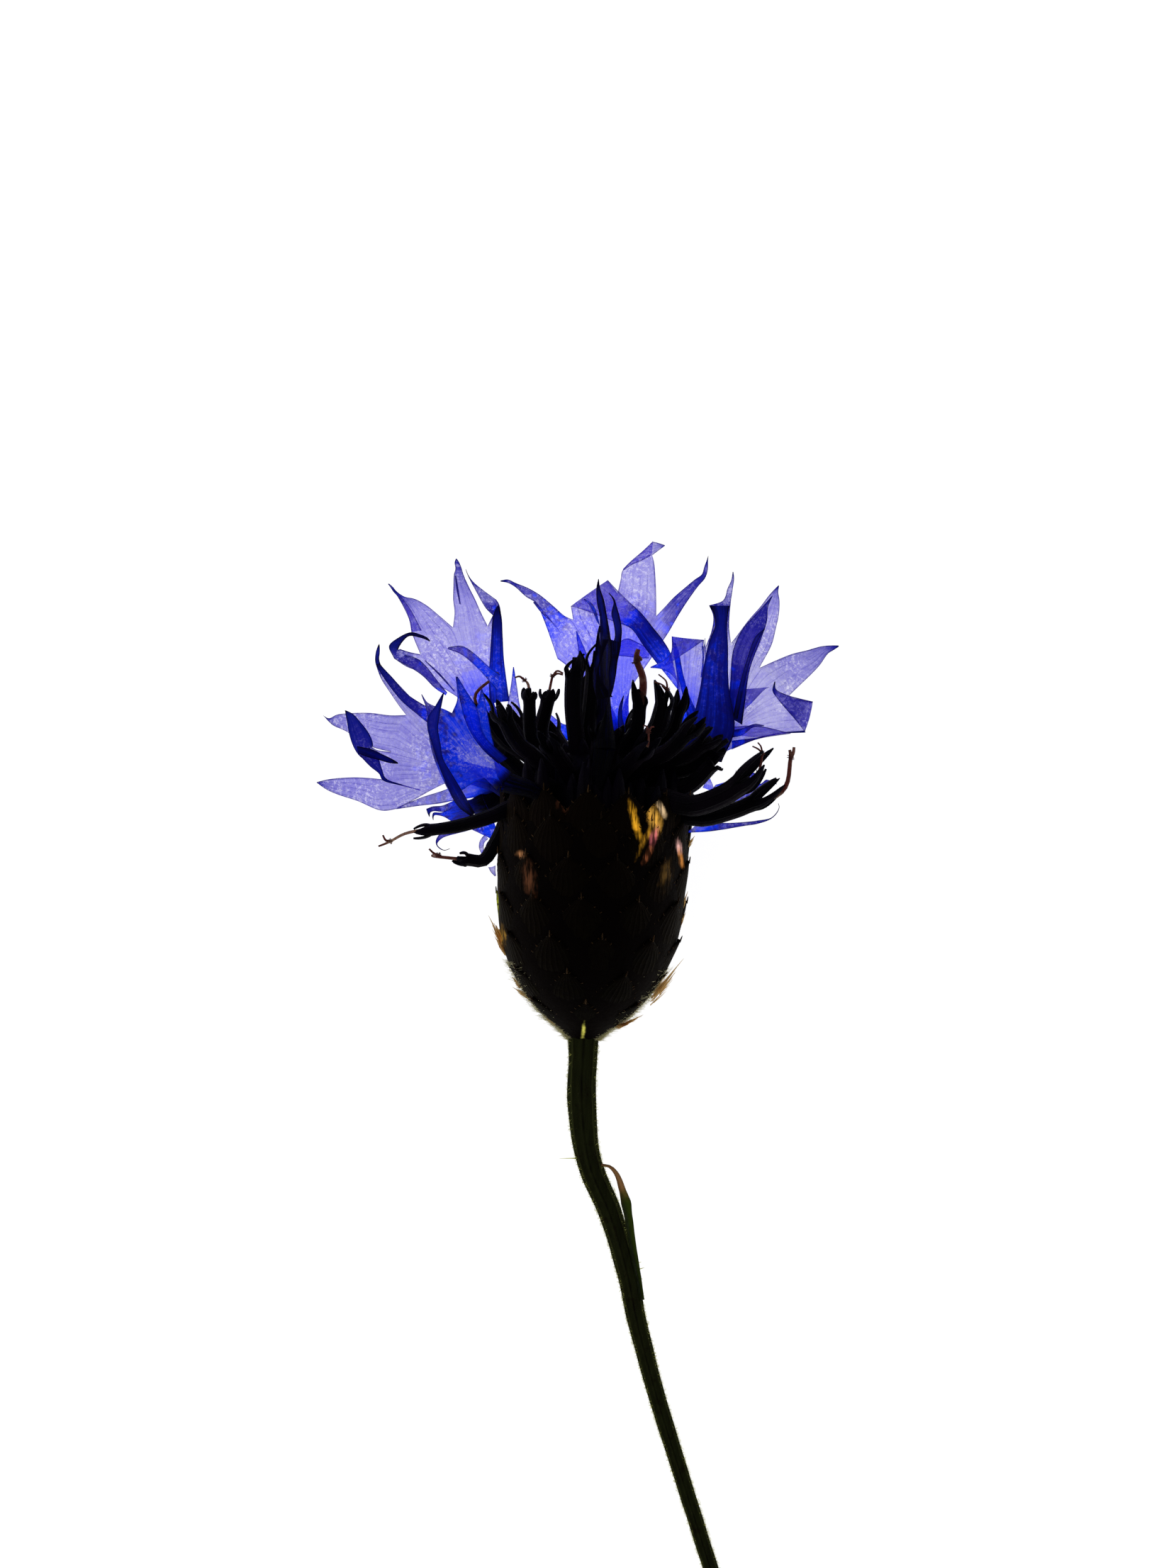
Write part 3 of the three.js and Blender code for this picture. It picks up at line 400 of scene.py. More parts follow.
  },
  {
    "name": "ray_floret_upper_right", "ring_angle": 308, "bend": [4.5, 16.4, 3.0],
    "throat": [6.6, 19.6, 3.8],
    "tones": [1.0, 0.7, 0.3, 0.05, 0.0],
    "shoulders": [[6.5, 23.5, 4.2], [6.0, 26.2, 4.4], [8.05, 26.2, 4.4], [8.25, 24.4, 4.3]],
    "lobes": [
      [[[5.9, 24.4, 5.75, 25.7, 4.9, 0.25], [5.2, 24.75, 5.2, 25.25, 5.1, 0.3],
        [4.5, 24.83, 4.5, 24.9, 5.0, 0.45]]],
      [[[5.92, 26.95, 8.1, 26.72, 4.9, 0.1]],
       [[5.9, 26.0, 7.3, 26.15, 5.5, 0.12], [5.7, 25.3, 6.4, 25.55, 5.7, 0.15],
        [5.4, 24.95, 5.6, 25.0, 5.7, 0.2]]],
      [[[8.12, 26.5, 8.2, 25.9, 4.6, 0.4], [8.14, 26.85, 8.17, 26.83, 4.8, 0.6]]],
    ],
    "folds": [
      [[7.0, 21.4, 7.7, 21.7, 5.1, 0.6], [6.6, 23.2, 7.1, 23.0, 5.1, 0.4],
       [6.25, 24.6, 6.65, 24.6, 5.1, 0.35], [6.05, 25.8, 6.45, 25.7, 5.1, 0.35],
       [5.98, 26.6, 6.2, 26.5, 5.1, 0.3]],
      [[8.05, 26.3, 7.95, 26.3, 5.1, 0.5], [8.08, 25.4, 7.98, 25.4, 5.1, 0.4],
       [7.95, 24.2, 7.85, 24.2, 5.1, 0.2]],
    ],
  },
  {
    "name": "ray_floret_right", "ring_angle": 337, "bend": [5.3, 15.9, 4.9], "throat": [8.4, 18.9, 5.6],
    "tones": [1.0, 0.7, 0.05, -0.12, -0.08],
    "shoulders": [[12.5, 20.25, 4.6], [13.85, 23.0, 3.6], [11.85, 24.85, 4.3], [9.9, 26.5, 5.3],
                  [8.1, 26.0, 6.0]],
    "lobes": [
      [[[13.7, 20.5, 14.1, 22.8, 4.0, 0.0], [14.9, 20.55, 15.42, 22.6, 3.4, 0.04]],
       [[14.35, 21.2, 14.6, 22.78, 4.0, 0.26], [13.6, 22.05, 13.75, 23.0, 4.4, 0.28],
        [12.95, 22.85, 13.05, 23.3, 4.7, 0.2], [12.68, 23.3, 12.88, 23.5, 4.9, 0.5],
        [12.8, 23.92, 12.87, 23.92, 5.0, 0.8]]],
      [[[14.5, 23.6, 12.8, 25.3, 3.0, 0.05], [15.2, 24.3, 14.0, 25.8, 2.2, 0.08],
        [15.9, 25.05, 15.1, 26.08, 1.4, 0.14], [16.5, 25.85, 16.1, 26.36, 0.8, 0.2],
        [16.9, 26.1, 16.8, 26.42, 0.5, 0.35], [17.27, 26.33, 17.25, 26.42, 0.4, 0.6]]],
      [[[12.65, 26.4, 10.4, 27.1, 3.8, 0.0], [12.95, 27.5, 11.2, 28.2, 3.4, 0.0],
        [13.15, 28.5, 11.95, 29.05, 3.1, 0.02], [13.2, 29.4, 12.5, 29.75, 2.9, 0.1],
        [13.12, 30.0, 12.85, 30.15, 2.8, 0.25], [13.18, 30.4, 13.12, 30.42, 2.8, 0.5]]],
      [[[9.75, 27.5, 8.6, 27.3, 5.8, 0.3], [9.75, 28.3, 8.67, 28.3, 5.8, 0.4],
        [9.8, 28.9, 8.4, 29.0, 5.8, 0.5]],
       [[9.86, 29.3, 9.35, 29.35, 5.9, 0.2], [10.0, 30.1, 9.65, 30.15, 5.7, 0.1],
        [10.1, 30.8, 9.9, 30.7, 5.5, 0.16], [10.05, 31.27, 10.0, 31.27, 5.3, 0.5]]],
    ],
    "folds": [
      [[9.2, 18.5, 6.3, 18.9, 7.2, 0.85], [10.05, 20.7, 7.15, 21.0, 7.2, 0.66],
       [9.75, 23.5, 7.75, 23.3, 7.4, 0.58], [9.65, 25.2, 8.02, 25.0, 7.4, 0.56],
       [9.65, 26.6, 8.4, 26.5, 7.4, 0.6], [9.62, 27.6, 8.8, 27.6, 7.4, 0.66],
       [9.66, 28.3, 8.72, 28.4, 7.4, 0.7], [9.75, 28.95, 8.42, 28.95, 7.3, 0.8]],
      [[10.6, 21.0, 9.5, 21.6, 6.4, 0.8], [10.9, 23.2, 9.8, 23.6, 6.2, 0.5],
       [11.2, 24.9, 9.95, 25.8, 6.0, 0.32], [11.85, 26.6, 10.6, 27.35, 5.6, 0.36],
       [12.3, 28.0, 11.6, 28.5, 5.2, 0.38], [12.38, 28.9, 12.18, 29.15, 5.0, 0.36],
       [12.72, 29.72, 12.6, 29.62, 4.9, 0.6]],
      [[10.3, 21.4, 9.95, 21.4, 7.0, 0.8], [10.75, 23.6, 10.45, 23.7, 6.8, 0.5],
       [11.2, 25.4, 10.95, 25.5, 6.6, 0.4], [11.75, 26.75, 11.5, 26.9, 6.4, 0.45],
       [12.15, 27.4, 12.1, 27.45, 6.2, 0.6]],
      [[12.5, 23.55, 10.7, 23.4, 5.2, 0.12], [12.2, 23.4, 10.5, 22.6, 5.3, 0.12],
       [11.3, 22.5, 10.2, 21.6, 5.6, 0.2]],
      [[14.9, 20.5, 14.85, 20.65, 4.6, 0.6], [13.0, 20.38, 13.0, 20.46, 4.8, 0.45],
       [11.5, 20.0, 11.5, 20.15, 5.2, 0.3], [9.9, 19.35, 9.9, 19.95, 5.9, 0.35]],
      [[13.9, 20.42, 13.9, 20.46, 4.8, 0.1], [11.9, 20.1, 11.7, 20.95, 5.2, 0.04],
       [10.4, 19.62, 10.2, 20.9, 5.5, 0.08], [9.3, 19.1, 9.1, 20.7, 5.9, 0.35]],
      [[9.6, 20.1, 9.6, 20.6, 6.4, 0.75], [10.6, 20.3, 10.7, 20.8, 6.1, 0.25],
       [11.4, 20.85, 11.5, 21.08, 5.8, 0.25], [12.1, 20.92, 12.1, 20.98, 5.6, 0.1]],
    ],
  },
  {
    "name": "ray_floret_front", "ring_angle": 86, "bend": [0.9, 16.4, 11.9], "throat": [1.4, 19.4, 12.4],
    "tones": [1.0, 1.0, 0.95, 0.9],
    "shoulders": [[0.75, 23.2, 11.2], [1.2, 26.2, 11.2], [1.85, 26.3, 12.6], [2.3, 25.0, 13.8]],
    "lobes": [
      [[[0.85, 24.4, 1.15, 26.9, 11.2, 0.9], [0.98, 25.6, 1.15, 27.4, 11.2, 0.85],
        [1.05, 26.9, 1.1, 27.6, 11.3, 0.9]]],
      [[[1.13, 27.4, 1.75, 27.2, 11.4, 0.82], [1.08, 28.2, 1.55, 28.3, 11.6, 0.78],
        [0.87, 29.1, 1.35, 29.2, 11.8, 0.75], [0.85, 30.0, 1.1, 30.0, 12.0, 0.75],
        [0.98, 30.6, 1.03, 30.62, 12.0, 0.9]]],
      [[[2.05, 26.8, 2.45, 26.4, 13.2, 0.85], [1.98, 27.6, 2.5, 27.3, 13.6, 0.75],
        [1.85, 28.3, 2.36, 28.2, 13.9, 0.75], [2.0, 29.0, 2.2, 28.8, 14.0, 0.8],
        [1.9, 29.3, 2.05, 29.25, 14.0, 0.85], [1.66, 29.62, 1.7, 29.66, 14.0, 0.95]]],
    ],
    "folds": [
      [[1.15, 27.5, 0.8, 28.2, 12.2, 0.5], [0.9, 28.4, 0.5, 28.7, 12.4, 0.35],
       [0.6, 28.95, 0.3, 29.0, 12.5, 0.3], [0.08, 29.3, 0.02, 29.25, 12.6, 0.4]],
      [[0.75, 22.6, 2.0, 22.8, 12.9, 1.0], [0.85, 24.2, 1.05, 24.3, 12.9, 0.9],
       [1.15, 25.6, 1.3, 25.6, 12.9, 0.85], [1.3, 26.6, 1.7, 26.6, 12.9, 0.85]],
      [[1.9, 22.6, 2.0, 23.2, 13.6, 0.9], [1.7, 24.2, 2.2, 24.3, 13.8, 0.75],
       [1.8, 25.4, 2.32, 25.5, 13.9, 0.85], [1.75, 26.6, 2.38, 26.4, 13.9, 0.85]],
    ],
  },
  {
    "name": "ray_floret_low_right", "ring_angle": 10, "bend": [5.8, 16.5, 7.0],
    "throat": [7.6, 15.4, 6.3],
    "tones": [1.0, 0.8, 0.4, 0.25],
    "shoulders": [[8.9, 17.0, 2.8], [9.4, 16.5, 3.4], [9.8, 15.8, 4.6], [8.0, 14.7, 6.2],
                  [6.9, 13.8, 7.0]],
    "lobes": [
      [[[9.6, 17.2, 9.9, 16.9, 2.6, 0.3], [10.12, 17.38, 10.2, 17.2, 2.6, 0.4],
        [10.28, 17.62, 10.33, 17.58, 2.7, 0.6], [10.24, 17.96, 10.27, 17.97, 2.8, 0.8]]],
      [[[10.2, 17.3, 10.4, 16.4, 3.2, 0.25], [10.9, 17.82, 11.2, 17.0, 3.0, 0.3],
        [11.6, 17.78, 11.8, 17.3, 3.0, 0.35], [12.0, 17.6, 12.05, 17.5, 3.0, 0.5]]],
      [[[11.2, 16.9, 11.4, 16.0, 4.8, 0.3], [11.95, 17.1, 11.95, 16.4, 5.0, 0.3],
        [12.28, 17.35, 12.4, 17.1, 5.2, 0.3], [12.68, 17.22, 12.7, 17.08, 5.2, 0.25],
        [12.97, 17.05, 12.98, 17.02, 5.2, 0.5]]],
      [[[8.6, 14.5, 8.2, 13.86, 7.0, 0.4], [9.6, 14.46, 9.3, 14.0, 7.0, 0.34],
        [10.8, 14.52, 10.7, 14.24, 7.1, 0.34], [11.7, 14.63, 11.6, 14.38, 7.1, 0.4],
        [12.5, 14.79, 12.5, 14.7, 7.2, 0.6], [12.9, 15.17, 12.94, 15.12, 7.2, 0.6],
        [13.05, 15.5, 13.09, 15.5, 7.2, 0.7], [13.0, 15.76, 13.03, 15.77, 7.2, 0.9]]],
    ],
    "folds": [
      [[8.0, 16.8, 8.9, 16.4, 3.6, 0.2], [8.2, 17.2, 8.75, 16.9, 3.6, 0.1],
       [8.38, 17.6, 8.44, 17.55, 3.6, 0.3]],
      [[11.1, 17.6, 11.35, 17.7, 3.4, 0.5], [11.2, 17.98, 11.28, 18.0, 3.5, 0.7],
       [11.08, 18.3, 11.13, 18.33, 3.6, 0.75], [10.9, 18.5, 10.92, 18.52, 3.6, 0.9]],
      [[11.5, 17.7, 11.7, 17.7, 3.4, 0.5], [11.62, 17.92, 11.68, 17.95, 3.5, 0.7],
       [11.42, 18.14, 11.44, 18.17, 3.6, 0.9]],
    ],
  },
  {
    "name": "ray_floret_low_left", "ring_angle": 200, "bend": [-5.0, 16.5, 4.8],
    "throat": [-6.5, 15.85, 4.6],
    "tones": [1.0, 0.8, 0.62, 0.45],
    "shoulders": [[-8.6, 16.1, 6.0], [-8.9, 15.4, 5.0], [-8.9, 14.6, 3.6], [-7.6, 13.9, 2.4]],
    "lobes": [
      [[[-9.4, 15.62, -9.4, 15.15, 6.2, 0.3], [-10.1, 15.52, -10.0, 15.2, 6.3, 0.4],
        [-10.5, 15.35, -10.2, 15.12, 6.4, 0.6]],
       [[-10.42, 15.1, -10.25, 15.02, 6.6, 0.7], [-10.3, 14.85, -10.26, 14.85, 6.7, 0.9]]],
      [[[-9.5, 15.15, -9.5, 14.9, 5.0, 0.35], [-10.05, 15.12, -9.95, 14.95, 5.1, 0.5],
        [-10.13, 14.88, -10.02, 14.86, 5.2, 0.6], [-10.08, 14.63, -10.04, 14.63, 5.2, 0.9]]],
      [[[-9.6, 13.8, -9.4, 13.45, 2.6, 0.28], [-9.93, 13.28, -9.8, 13.1, 2.4, 0.35],
        [-9.92, 12.95, -9.83, 12.95, 2.3, 0.5], [-9.68, 12.67, -9.62, 12.72, 2.2, 0.6],
        [-9.35, 12.56, -9.35, 12.61, 2.2, 0.7], [-9.0, 12.67, -9.0, 12.71, 2.2, 0.9]]],
    ],
    "folds": [
      [[-5.6, 13.1, -6.0, 14.5, 3.2, 0.45], [-6.6, 13.5, -7.0, 14.1, 2.8, 0.38],
       [-7.3, 13.85, -7.6, 14.05, 2.6, 0.3]],
      [[-6.4, 13.35, -6.6, 13.7, 3.4, 0.1], [-6.65, 13.1, -6.97, 13.2, 3.2, 0.05],
       [-6.7, 12.7, -7.02, 12.7, 3.0, 0.05], [-6.6, 12.4, -6.82, 12.3, 2.9, 0.15]],
      [[-6.1, 13.3, -6.25, 13.4, 3.6, 0.4], [-6.48, 12.9, -6.55, 12.95, 3.5, 0.5],
       [-6.48, 12.55, -6.54, 12.5, 3.4, 0.6]],
      [[-5.9, 11.6, -6.4, 11.5, 4.4, 0.05], [-5.9, 11.2, -6.22, 11.15, 4.4, 0.05],
       [-5.86, 10.9, -5.95, 10.85, 4.4, 0.2]],
    ],
  },
]

# Disc florets: the points that a tube passes after it leaves the mound, the last of them its mouth.
# mouth and claws are the width and the length beside the usual ones, count is the number of claws,
# hook how far they bend in, and sweep which way all of them bend. Where a style stands out, style is
# its end, thick its thickness beside the usual one, and arms the courses of its arms from there.
DISC_FLORETS = [
  {"path": [[-3.6, 18.9, 8.0], [-5.3, 20.0, 8.4], [-6.35, 21.5, 8.4]], "claws": 0.65, "count": 3,
   "sweep": [-0.3, 0.3, 0.1], "style": [-5.9, 24.2, 9.2], "thick": 1.4,
   "arms": [[[-0.3, 0.2, 0.1], [-0.45, 0.1, 0.2]], [[0.15, 0.25, 0.0], [0.3, 0.1, 0.0]]]},
  {"path": [[-3.2, 18.8, 9.2], [-4.4, 19.8, 9.6], [-5.2, 21.3, 9.9]], "claws": 0.65, "count": 3},
  {"path": [[-2.9, 19.2, 5.6], [-4.3, 21.2, 5.2]], "mouth": 0.8, "claws": 1.0, "count": 3},
  {"path": [[-2.6, 18.9, 7.6], [-3.45, 20.2, 8.0], [-3.6, 22.6, 8.2]], "mouth": 0.75, "claws": 0.4,
   "style": [-3.95, 24.0, 9.3], "thick": 1.2, "arms": [[[-0.3, 0.2, 0.1], [-0.6, 0.12, 0.1]]]},
  {"path": [[-1.9, 18.9, 6.3], [-2.8, 20.3, 6.1], [-2.4, 22.6, 6.1]], "mouth": 0.85, "claws": 0.5,
   "style": [-2.05, 24.35, 6.3], "thick": 1.2,
   "arms": [[[0.3, 0.26, 0.1], [0.7, 0.1, 0.1]], [[0.3, 0.08, 0.0], [0.68, 0.0, 0.1]]]},
  {"path": [[-0.4, 19.6, 8.4], [-0.68, 22.4, 9.0], [-0.6, 24.4, 9.2]], "mouth": 1.15, "claws": 0.85,
   "count": 3, "hook": 1.0, "sweep": [0.35, 0.0, 0.0]},
  {"path": [[-0.2, 20.0, 6.4], [-0.3, 24.0, 6.0]], "mouth": 1.1, "claws": 0.6, "count": 3},
  {"path": [[0.3, 20.0, 7.4], [0.6, 23.0, 7.8], [0.75, 24.8, 8.0]], "mouth": 1.1, "claws": 0.85,
   "count": 3, "hook": 0.6, "sweep": [0.4, 0.0, 0.0]},
  {"path": [[1.0, 19.6, 6.0], [1.2, 20.6, 5.6]], "claws": 0.4},
  {"path": [[1.8, 18.8, 9.0], [2.2, 20.0, 9.6]], "mouth": 0.6, "claws": 0.5},
  {"path": [[2.5, 19.2, 7.6], [3.5, 20.6, 8.6], [3.75, 22.3, 9.2]], "mouth": 0.85, "count": 3,
   "hook": 0.5, "sweep": [-0.55, -0.1, 0.2], "style": [3.5, 25.3, 10.2], "thick": 3.2,
   "arms": [[[0.05, 0.35, 0.0], [0.15, 0.7, 0.0]], [[0.2, 0.1, 0.0], [0.3, -0.05, 0.1]]]},
  {"path": [[3.2, 19.0, 6.8], [4.8, 20.6, 7.4], [5.35, 22.3, 7.8]], "mouth": 0.85, "count": 3,
   "hook": 0.5, "sweep": [-0.95, -0.15, 0.2], "style": [5.6, 23.4, 8.6],
   "arms": [[[-0.1, 0.5, 0.1], [-0.6, 0.95, 0.1]], [[-0.35, 0.25, 0.1], [-0.85, 0.45, 0.2]]]},
  {"path": [[3.9, 18.7, 5.6], [5.8, 20.4, 5.8], [6.35, 21.9, 5.9]], "mouth": 0.8, "claws": 0.9,
   "sweep": [-0.3, 0.0, 0.2]},
  {"path": [[-3.6, 17.4, 7.0], [-5.2, 18.9, 7.0]], "mouth": 0.9, "claws": 0.5},
  {"path": [[3.6, 18.3, 9.4], [5.6, 19.2, 10.6], [6.8, 20.4, 11.4]]},
  {"path": [[4.4, 18.4, 8.2], [6.8, 18.9, 9.0], [7.9, 19.7, 9.3]], "claws": 0.7},
  {"path": [[4.2, 18.6, 6.0], [6.0, 19.4, 6.2], [6.9, 20.3, 6.4]], "claws": 0.8},
  {"path": [[4.6, 17.6, 7.0], [7.2, 18.2, 7.6], [8.7, 19.3, 8.2]], "claws": 0.5},
  {"path": [[4.6, 16.2, 9.4], [7.2, 15.6, 10.6], [9.4, 16.35, 11.0], [10.3, 16.95, 11.0]], "mouth": 1.1,
   "claws": 1.45, "count": 4, "hook": 0.3, "sweep": [-0.1, 0.5, 0.1], "style": [11.9, 19.2, 11.2],
   "arms": [[[-0.15, 0.35, 0.1], [-0.35, 0.6, 0.1]], [[-0.3, 0.15, 0.0], [-0.7, 0.35, 0.1]]]},
  {"path": [[4.7, 15.6, 8.3], [7.6, 14.75, 9.1], [10.1, 15.3, 8.9], [11.2, 15.75, 8.9]], "claws": 1.2,
   "count": 4, "hook": 0.3, "sweep": [0.05, 0.65, 0.1], "style": [13.8, 18.9, 9.6], "thick": 2.0,
   "arms": [[[-0.05, 0.2, 0.1], [-0.1, 0.42, 0.1]], [[0.15, 0.25, 0.0], [0.2, 0.6, 0.0]]]},
  {"path": [[-3.7, 15.8, 8.0], [-6.4, 14.8, 8.7], [-8.6, 14.2, 8.8], [-10.1, 14.0, 8.9]], "mouth": 0.72,
   "claws": 0.62, "count": 4, "style": [-12.9, 13.2, 8.4], "thick": 1.3,
   "arms": [[[-0.35, -0.15, 0.0], [-0.75, -0.3, 0.0]], [[-0.25, 0.1, 0.1], [-0.45, 0.45, 0.1]]]},
  {"path": [[-4.4, 15.6, 7.6], [-5.7, 13.4, 7.2], [-6.7, 11.95, 7.0], [-7.7, 12.0, 7.2]], "mouth": 0.75,
   "claws": 0.45, "count": 3, "style": [-9.6, 12.35, 10.8], "thick": 1.3,
   "arms": [[[-0.3, 0.1, 0.0], [-0.62, 0.4, 0.1]]]},
  {"path": [[4.8, 16.6, 7.6], [7.0, 16.9, 8.0], [8.6, 18.4, 8.4]], "claws": 0.2, "count": 3},
  {"path": [[-0.9, 17.6, 9.9], [-2.0, 19.4, 12.2]], "claws": 0.7},
  {"path": [[0.9, 18.2, 10.0], [1.1, 20.0, 12.0]], "claws": 0.8},
  {"path": [[2.2, 17.4, 10.1], [3.7, 19.0, 12.7]], "style": [4.3, 20.6, 14.2],
   "arms": [[[0.2, 0.2, 0.1], [0.35, 0.2, 0.3]], [[-0.15, 0.25, 0.1], [-0.35, 0.3, 0.2]]]},
  {"path": [[-0.8, 18.4, 4.9], [-2.0, 20.4, 3.9]], "claws": 0.8},
  {"path": [[1.8, 18.0, 4.6], [3.2, 20.4, 4.3]], "claws": 0.8},
]
# root is how deep a tube starts in the mound, foot and mouth its radii, length its share of the floret
DISC_TUBE = {"root": 0.6, "foot": 0.58, "mouth": 0.54, "length": 0.7, "steps": 24, "wall": 0.13}
CLAWS = {"count": 4, "length": 1.9, "flare": 0.16, "hook": 0.4, "belly": 0.4, "half_width": 0.42}
CLAW_CELLS = (4, 28)  # across and along one claw and its share of the tube
ANTHERS = {"root": 0.8, "neck": 0.3, "length": 0.8, "foot": 0.26, "taper": 0.1, "ridge": 0.02}
ANTHER_STEPS = 8
STYLE = {"radius": 0.085, "root": 1.4, "knee": 0.55, "brush": 18, "steps": 14, "arm_steps": 10}
BRUSH_RADII = (0.03, 0.014)
TUBE_RIBS = 5

# Closed young florets on the mound, and the feet between it and the rim
BUDS = {"count": 46, "length": 2.3, "radius": 0.48, "spread": 1.3, "low": 0.8, "ring": 2.9}
BUD_CELLS = (10, 8)  # round and along it
FEET = {"count": 76, "length": 5.4, "radius": 0.6, "inner": 2.8, "outer": 4.9, "lean": 0.2, "sink": 0.3}
FEET_RINGS = 3


# ---------- Curves and surfaces ----------

def lerp(a, b, t):
    return a + (b - a) * t


def ease(low, high, x):
    """0 below low, 1 above high, and a smooth rise between them."""
    t = min(max((x - low) / (high - low), 0.0), 1.0)
    return t * t * (3 - 2 * t)


def along(values, t):
    """The value at t (0 to 1) along a list of evenly spaced values."""
    place = min(max(t, 0.0), 1.0) * (len(values) - 1)
    step = min(int(place), len(values) - 2)
    return lerp(values[step], values[step + 1], place - step)


def quadratic(a, pull, b, t):
    """The point at t on a curve from a to b that leans towards pull."""
    return a.lerp(pull, t).lerp(pull.lerp(b, t), t)


class Course:
    """A smooth curve through points, read by its share of the length."""

    SAMPLES = 24  # between neighbouring points

    def __init__(self, points):
        points = [Vector(point) for point in points]
        first, last = 2 * points[0] - points[1], 2 * points[-1] - points[-2]
        self.points = [first, *points, last]
        self.samples = [points[0]]
        for span in range(len(points) - 1):
            self.samples += [self._hermite(span, i / self.SAMPLES) for i in range(1, self.SAMPLES + 1)]
        self.reach = [0.0]
        for a, b in zip(self.samples, self.samples[1:]):
            self.reach.append(self.reach[-1] + (b - a).length)
        self.length = self.reach[-1]

    def _hermite(self, span, t):
        p0, p1, p2, p3 = self.points[span:span + 4]
        d0, d1, d2 = (max((b - a).length, 1e-4) ** 0.5 for a, b in ((p0, p1), (p1, p2), (p2, p3)))
        m1 = ((p1 - p0) / d0 - (p2 - p0) / (d0 + d1) + (p2 - p1) / d1) * d1
        m2 = ((p2 - p1) / d1 - (p3 - p1) / (d1 + d2) + (p3 - p2) / d2) * d1
        rise = -3 * p1 + 3 * p2 - 2 * m1 - m2
        return p1 + m1 * t + rise * t * t + (2 * p1 - 2 * p2 + m1 + m2) * t ** 3

    def at(self, t):
        """The point at a share t of the length."""
        goal = min(max(t, 0.0), 1.0) * self.length
        low, high = 0, len(self.reach) - 1
        while high - low > 1:
            middle = (low + high) // 2
            low, high = (middle, high) if self.reach[middle] <= goal else (low, middle)
        share = (goal - self.reach[low]) / max(self.reach[high] - self.reach[low], 1e-9)
        return self.samples[low].lerp(self.samples[high], share)

    def span(self, t):
        """The point at t (0 to 1), with as much of t between every two of the curve's own points."""
        return along(self.samples, t)

    def heading(self, t):
        """The direction in which the curve runs there."""
        return (self.at(t + 0.01) - self.at(t - 0.01)).normalized()

    def frames(self, steps, first=Vector((0.0, 0.0, 1.0))):
        """(point, normal, binormal, heading) at even steps, without a twist between them."""
        made, normal = [], first
        for step in range(steps + 1):
            ahead = self.heading(step / steps)
            normal = normal - ahead * normal.dot(ahead)
            if normal.length < 1e-3:
                normal = ahead.orthogonal()
            normal.normalize()
            made.append((self.at(step / steps), normal.copy(), ahead.cross(normal), ahead))
        return made


class Fan:
    """The base of a ray floret: the mouth of its tube, opened as far as its lobes."""

    ROLL = 0.84  # part of the base over which the mouth opens
    SLIT = 0.4  # part of the base above which its sides are free edges
    WAVE = 0.22  # height of the slow waves in the tissue
    WAVE_SIZE = 0.42  # waves in a millimetre

    def __init__(self, ray):
        self.start = Vector(ray["throat"])
        self.corners = [Vector(point) for point in ray["shoulders"]]
        self.tones = ray["tones"]
        self.heading = (sum(self.corners, Vector()) / len(self.corners) - self.start).normalized()
        spread = self.corners[-1] - self.corners[0]
        self.face = spread.cross(self.heading).normalized()
        self.side = self.heading.cross(self.face).normalized()
        self.up = self.face if self.face.z > 0 else -self.face

    def edge(self, index, v):
        """The point at v (0 to 1) along the line from the throat to a shoulder."""
        corner = self.corners[index]
        shift = 2 * index / (len(self.corners) - 1) - 1
        foot = self.start + self.side * (THROAT_HALF_WIDTH * shift)
        pull = foot + self.heading * (FAN_STRAIGHTNESS * (foot - corner).length)
        return quadratic(foot, pull, corner, v)

    def settle(self, point, width, u, free):
        """Lifts a point of the flat tissue onto its rounded and wavy form."""
        bulge = GUTTER * width * math.sin(math.pi * u)
        wave = free * self.WAVE * noise.noise(point * self.WAVE_SIZE + self.corners[0])
        point = point + self.up * (bulge + wave)
        point.z = max(point.z, PETAL_GAP)
        return point

    def place(self, part, u, v):
        """The point of the base at u across one of its parts and v along it."""
        near, far = self.edge(part, v), self.edge(part + 1, v)
        point = near.lerp(far, u)
        if v < self.ROLL:
            count = len(self.corners) - 1
            turn = math.pi * (2 * (part + u) / count - 1)
            ring = self.side * math.sin(turn) - self.face * math.cos(turn)
            rolled = (self.edge(0, v) + self.edge(count, v)) / 2 + ring * THROAT_HALF_WIDTH
            point = rolled.lerp(point, ease(0.0, self.ROLL, v))
        return self.settle(point, (far - near).length, u, ease(0.3, 1.0, v))

    def margin(self, part, u, v):
        """How far a point is from the nearest free edge, in millimetres."""
        width = (self.edge(part + 1, v) - self.edge(part, v)).length
        sides = [width * u] if part == 0 else []
        sides += [width * (1 - u)] if part == len(self.corners) - 2 else []
        return min([*sides, OPEN_TISSUE]) if v > self.SLIT else OPEN_TISSUE


# ---------- Meshes ----------

def new_mesh():
    """An empty mesh with two maps: where a point lies on its leaf, and how far from the edge."""
    bm = bmesh.new()
    bm.loops.layers.uv.new("Leaf")
    bm.loops.layers.uv.new("Margin")
    return bm


def sheet(bm, across, length, place, leaf=None, margin=None):
    """A grid bent by place(u, v). leaf and margin write its two maps from the same u and v."""
    verts = bmesh.ops.create_grid(bm, x_segments=across, y_segments=length, size=0.5)["verts"]
    spots = {}
    for vert in verts:
        u, v = min(max(vert.co.x + 0.5, 0.0), 1.0), min(max(vert.co.y + 0.5, 0.0), 1.0)
        spots[vert] = (leaf(u, v) if leaf else (u, v), margin(u, v) if margin else (1.0, 0.0))
        vert.co = place(u, v)
    leaf_map, margin_map = bm.loops.layers.uv["Leaf"], bm.loops.layers.uv["Margin"]
    for face in {face for vert in verts for face in vert.link_faces}:
        face.smooth = True
        for loop in face.loops:
            loop[leaf_map].uv, loop[margin_map].uv = spots[loop.vert]
    return verts


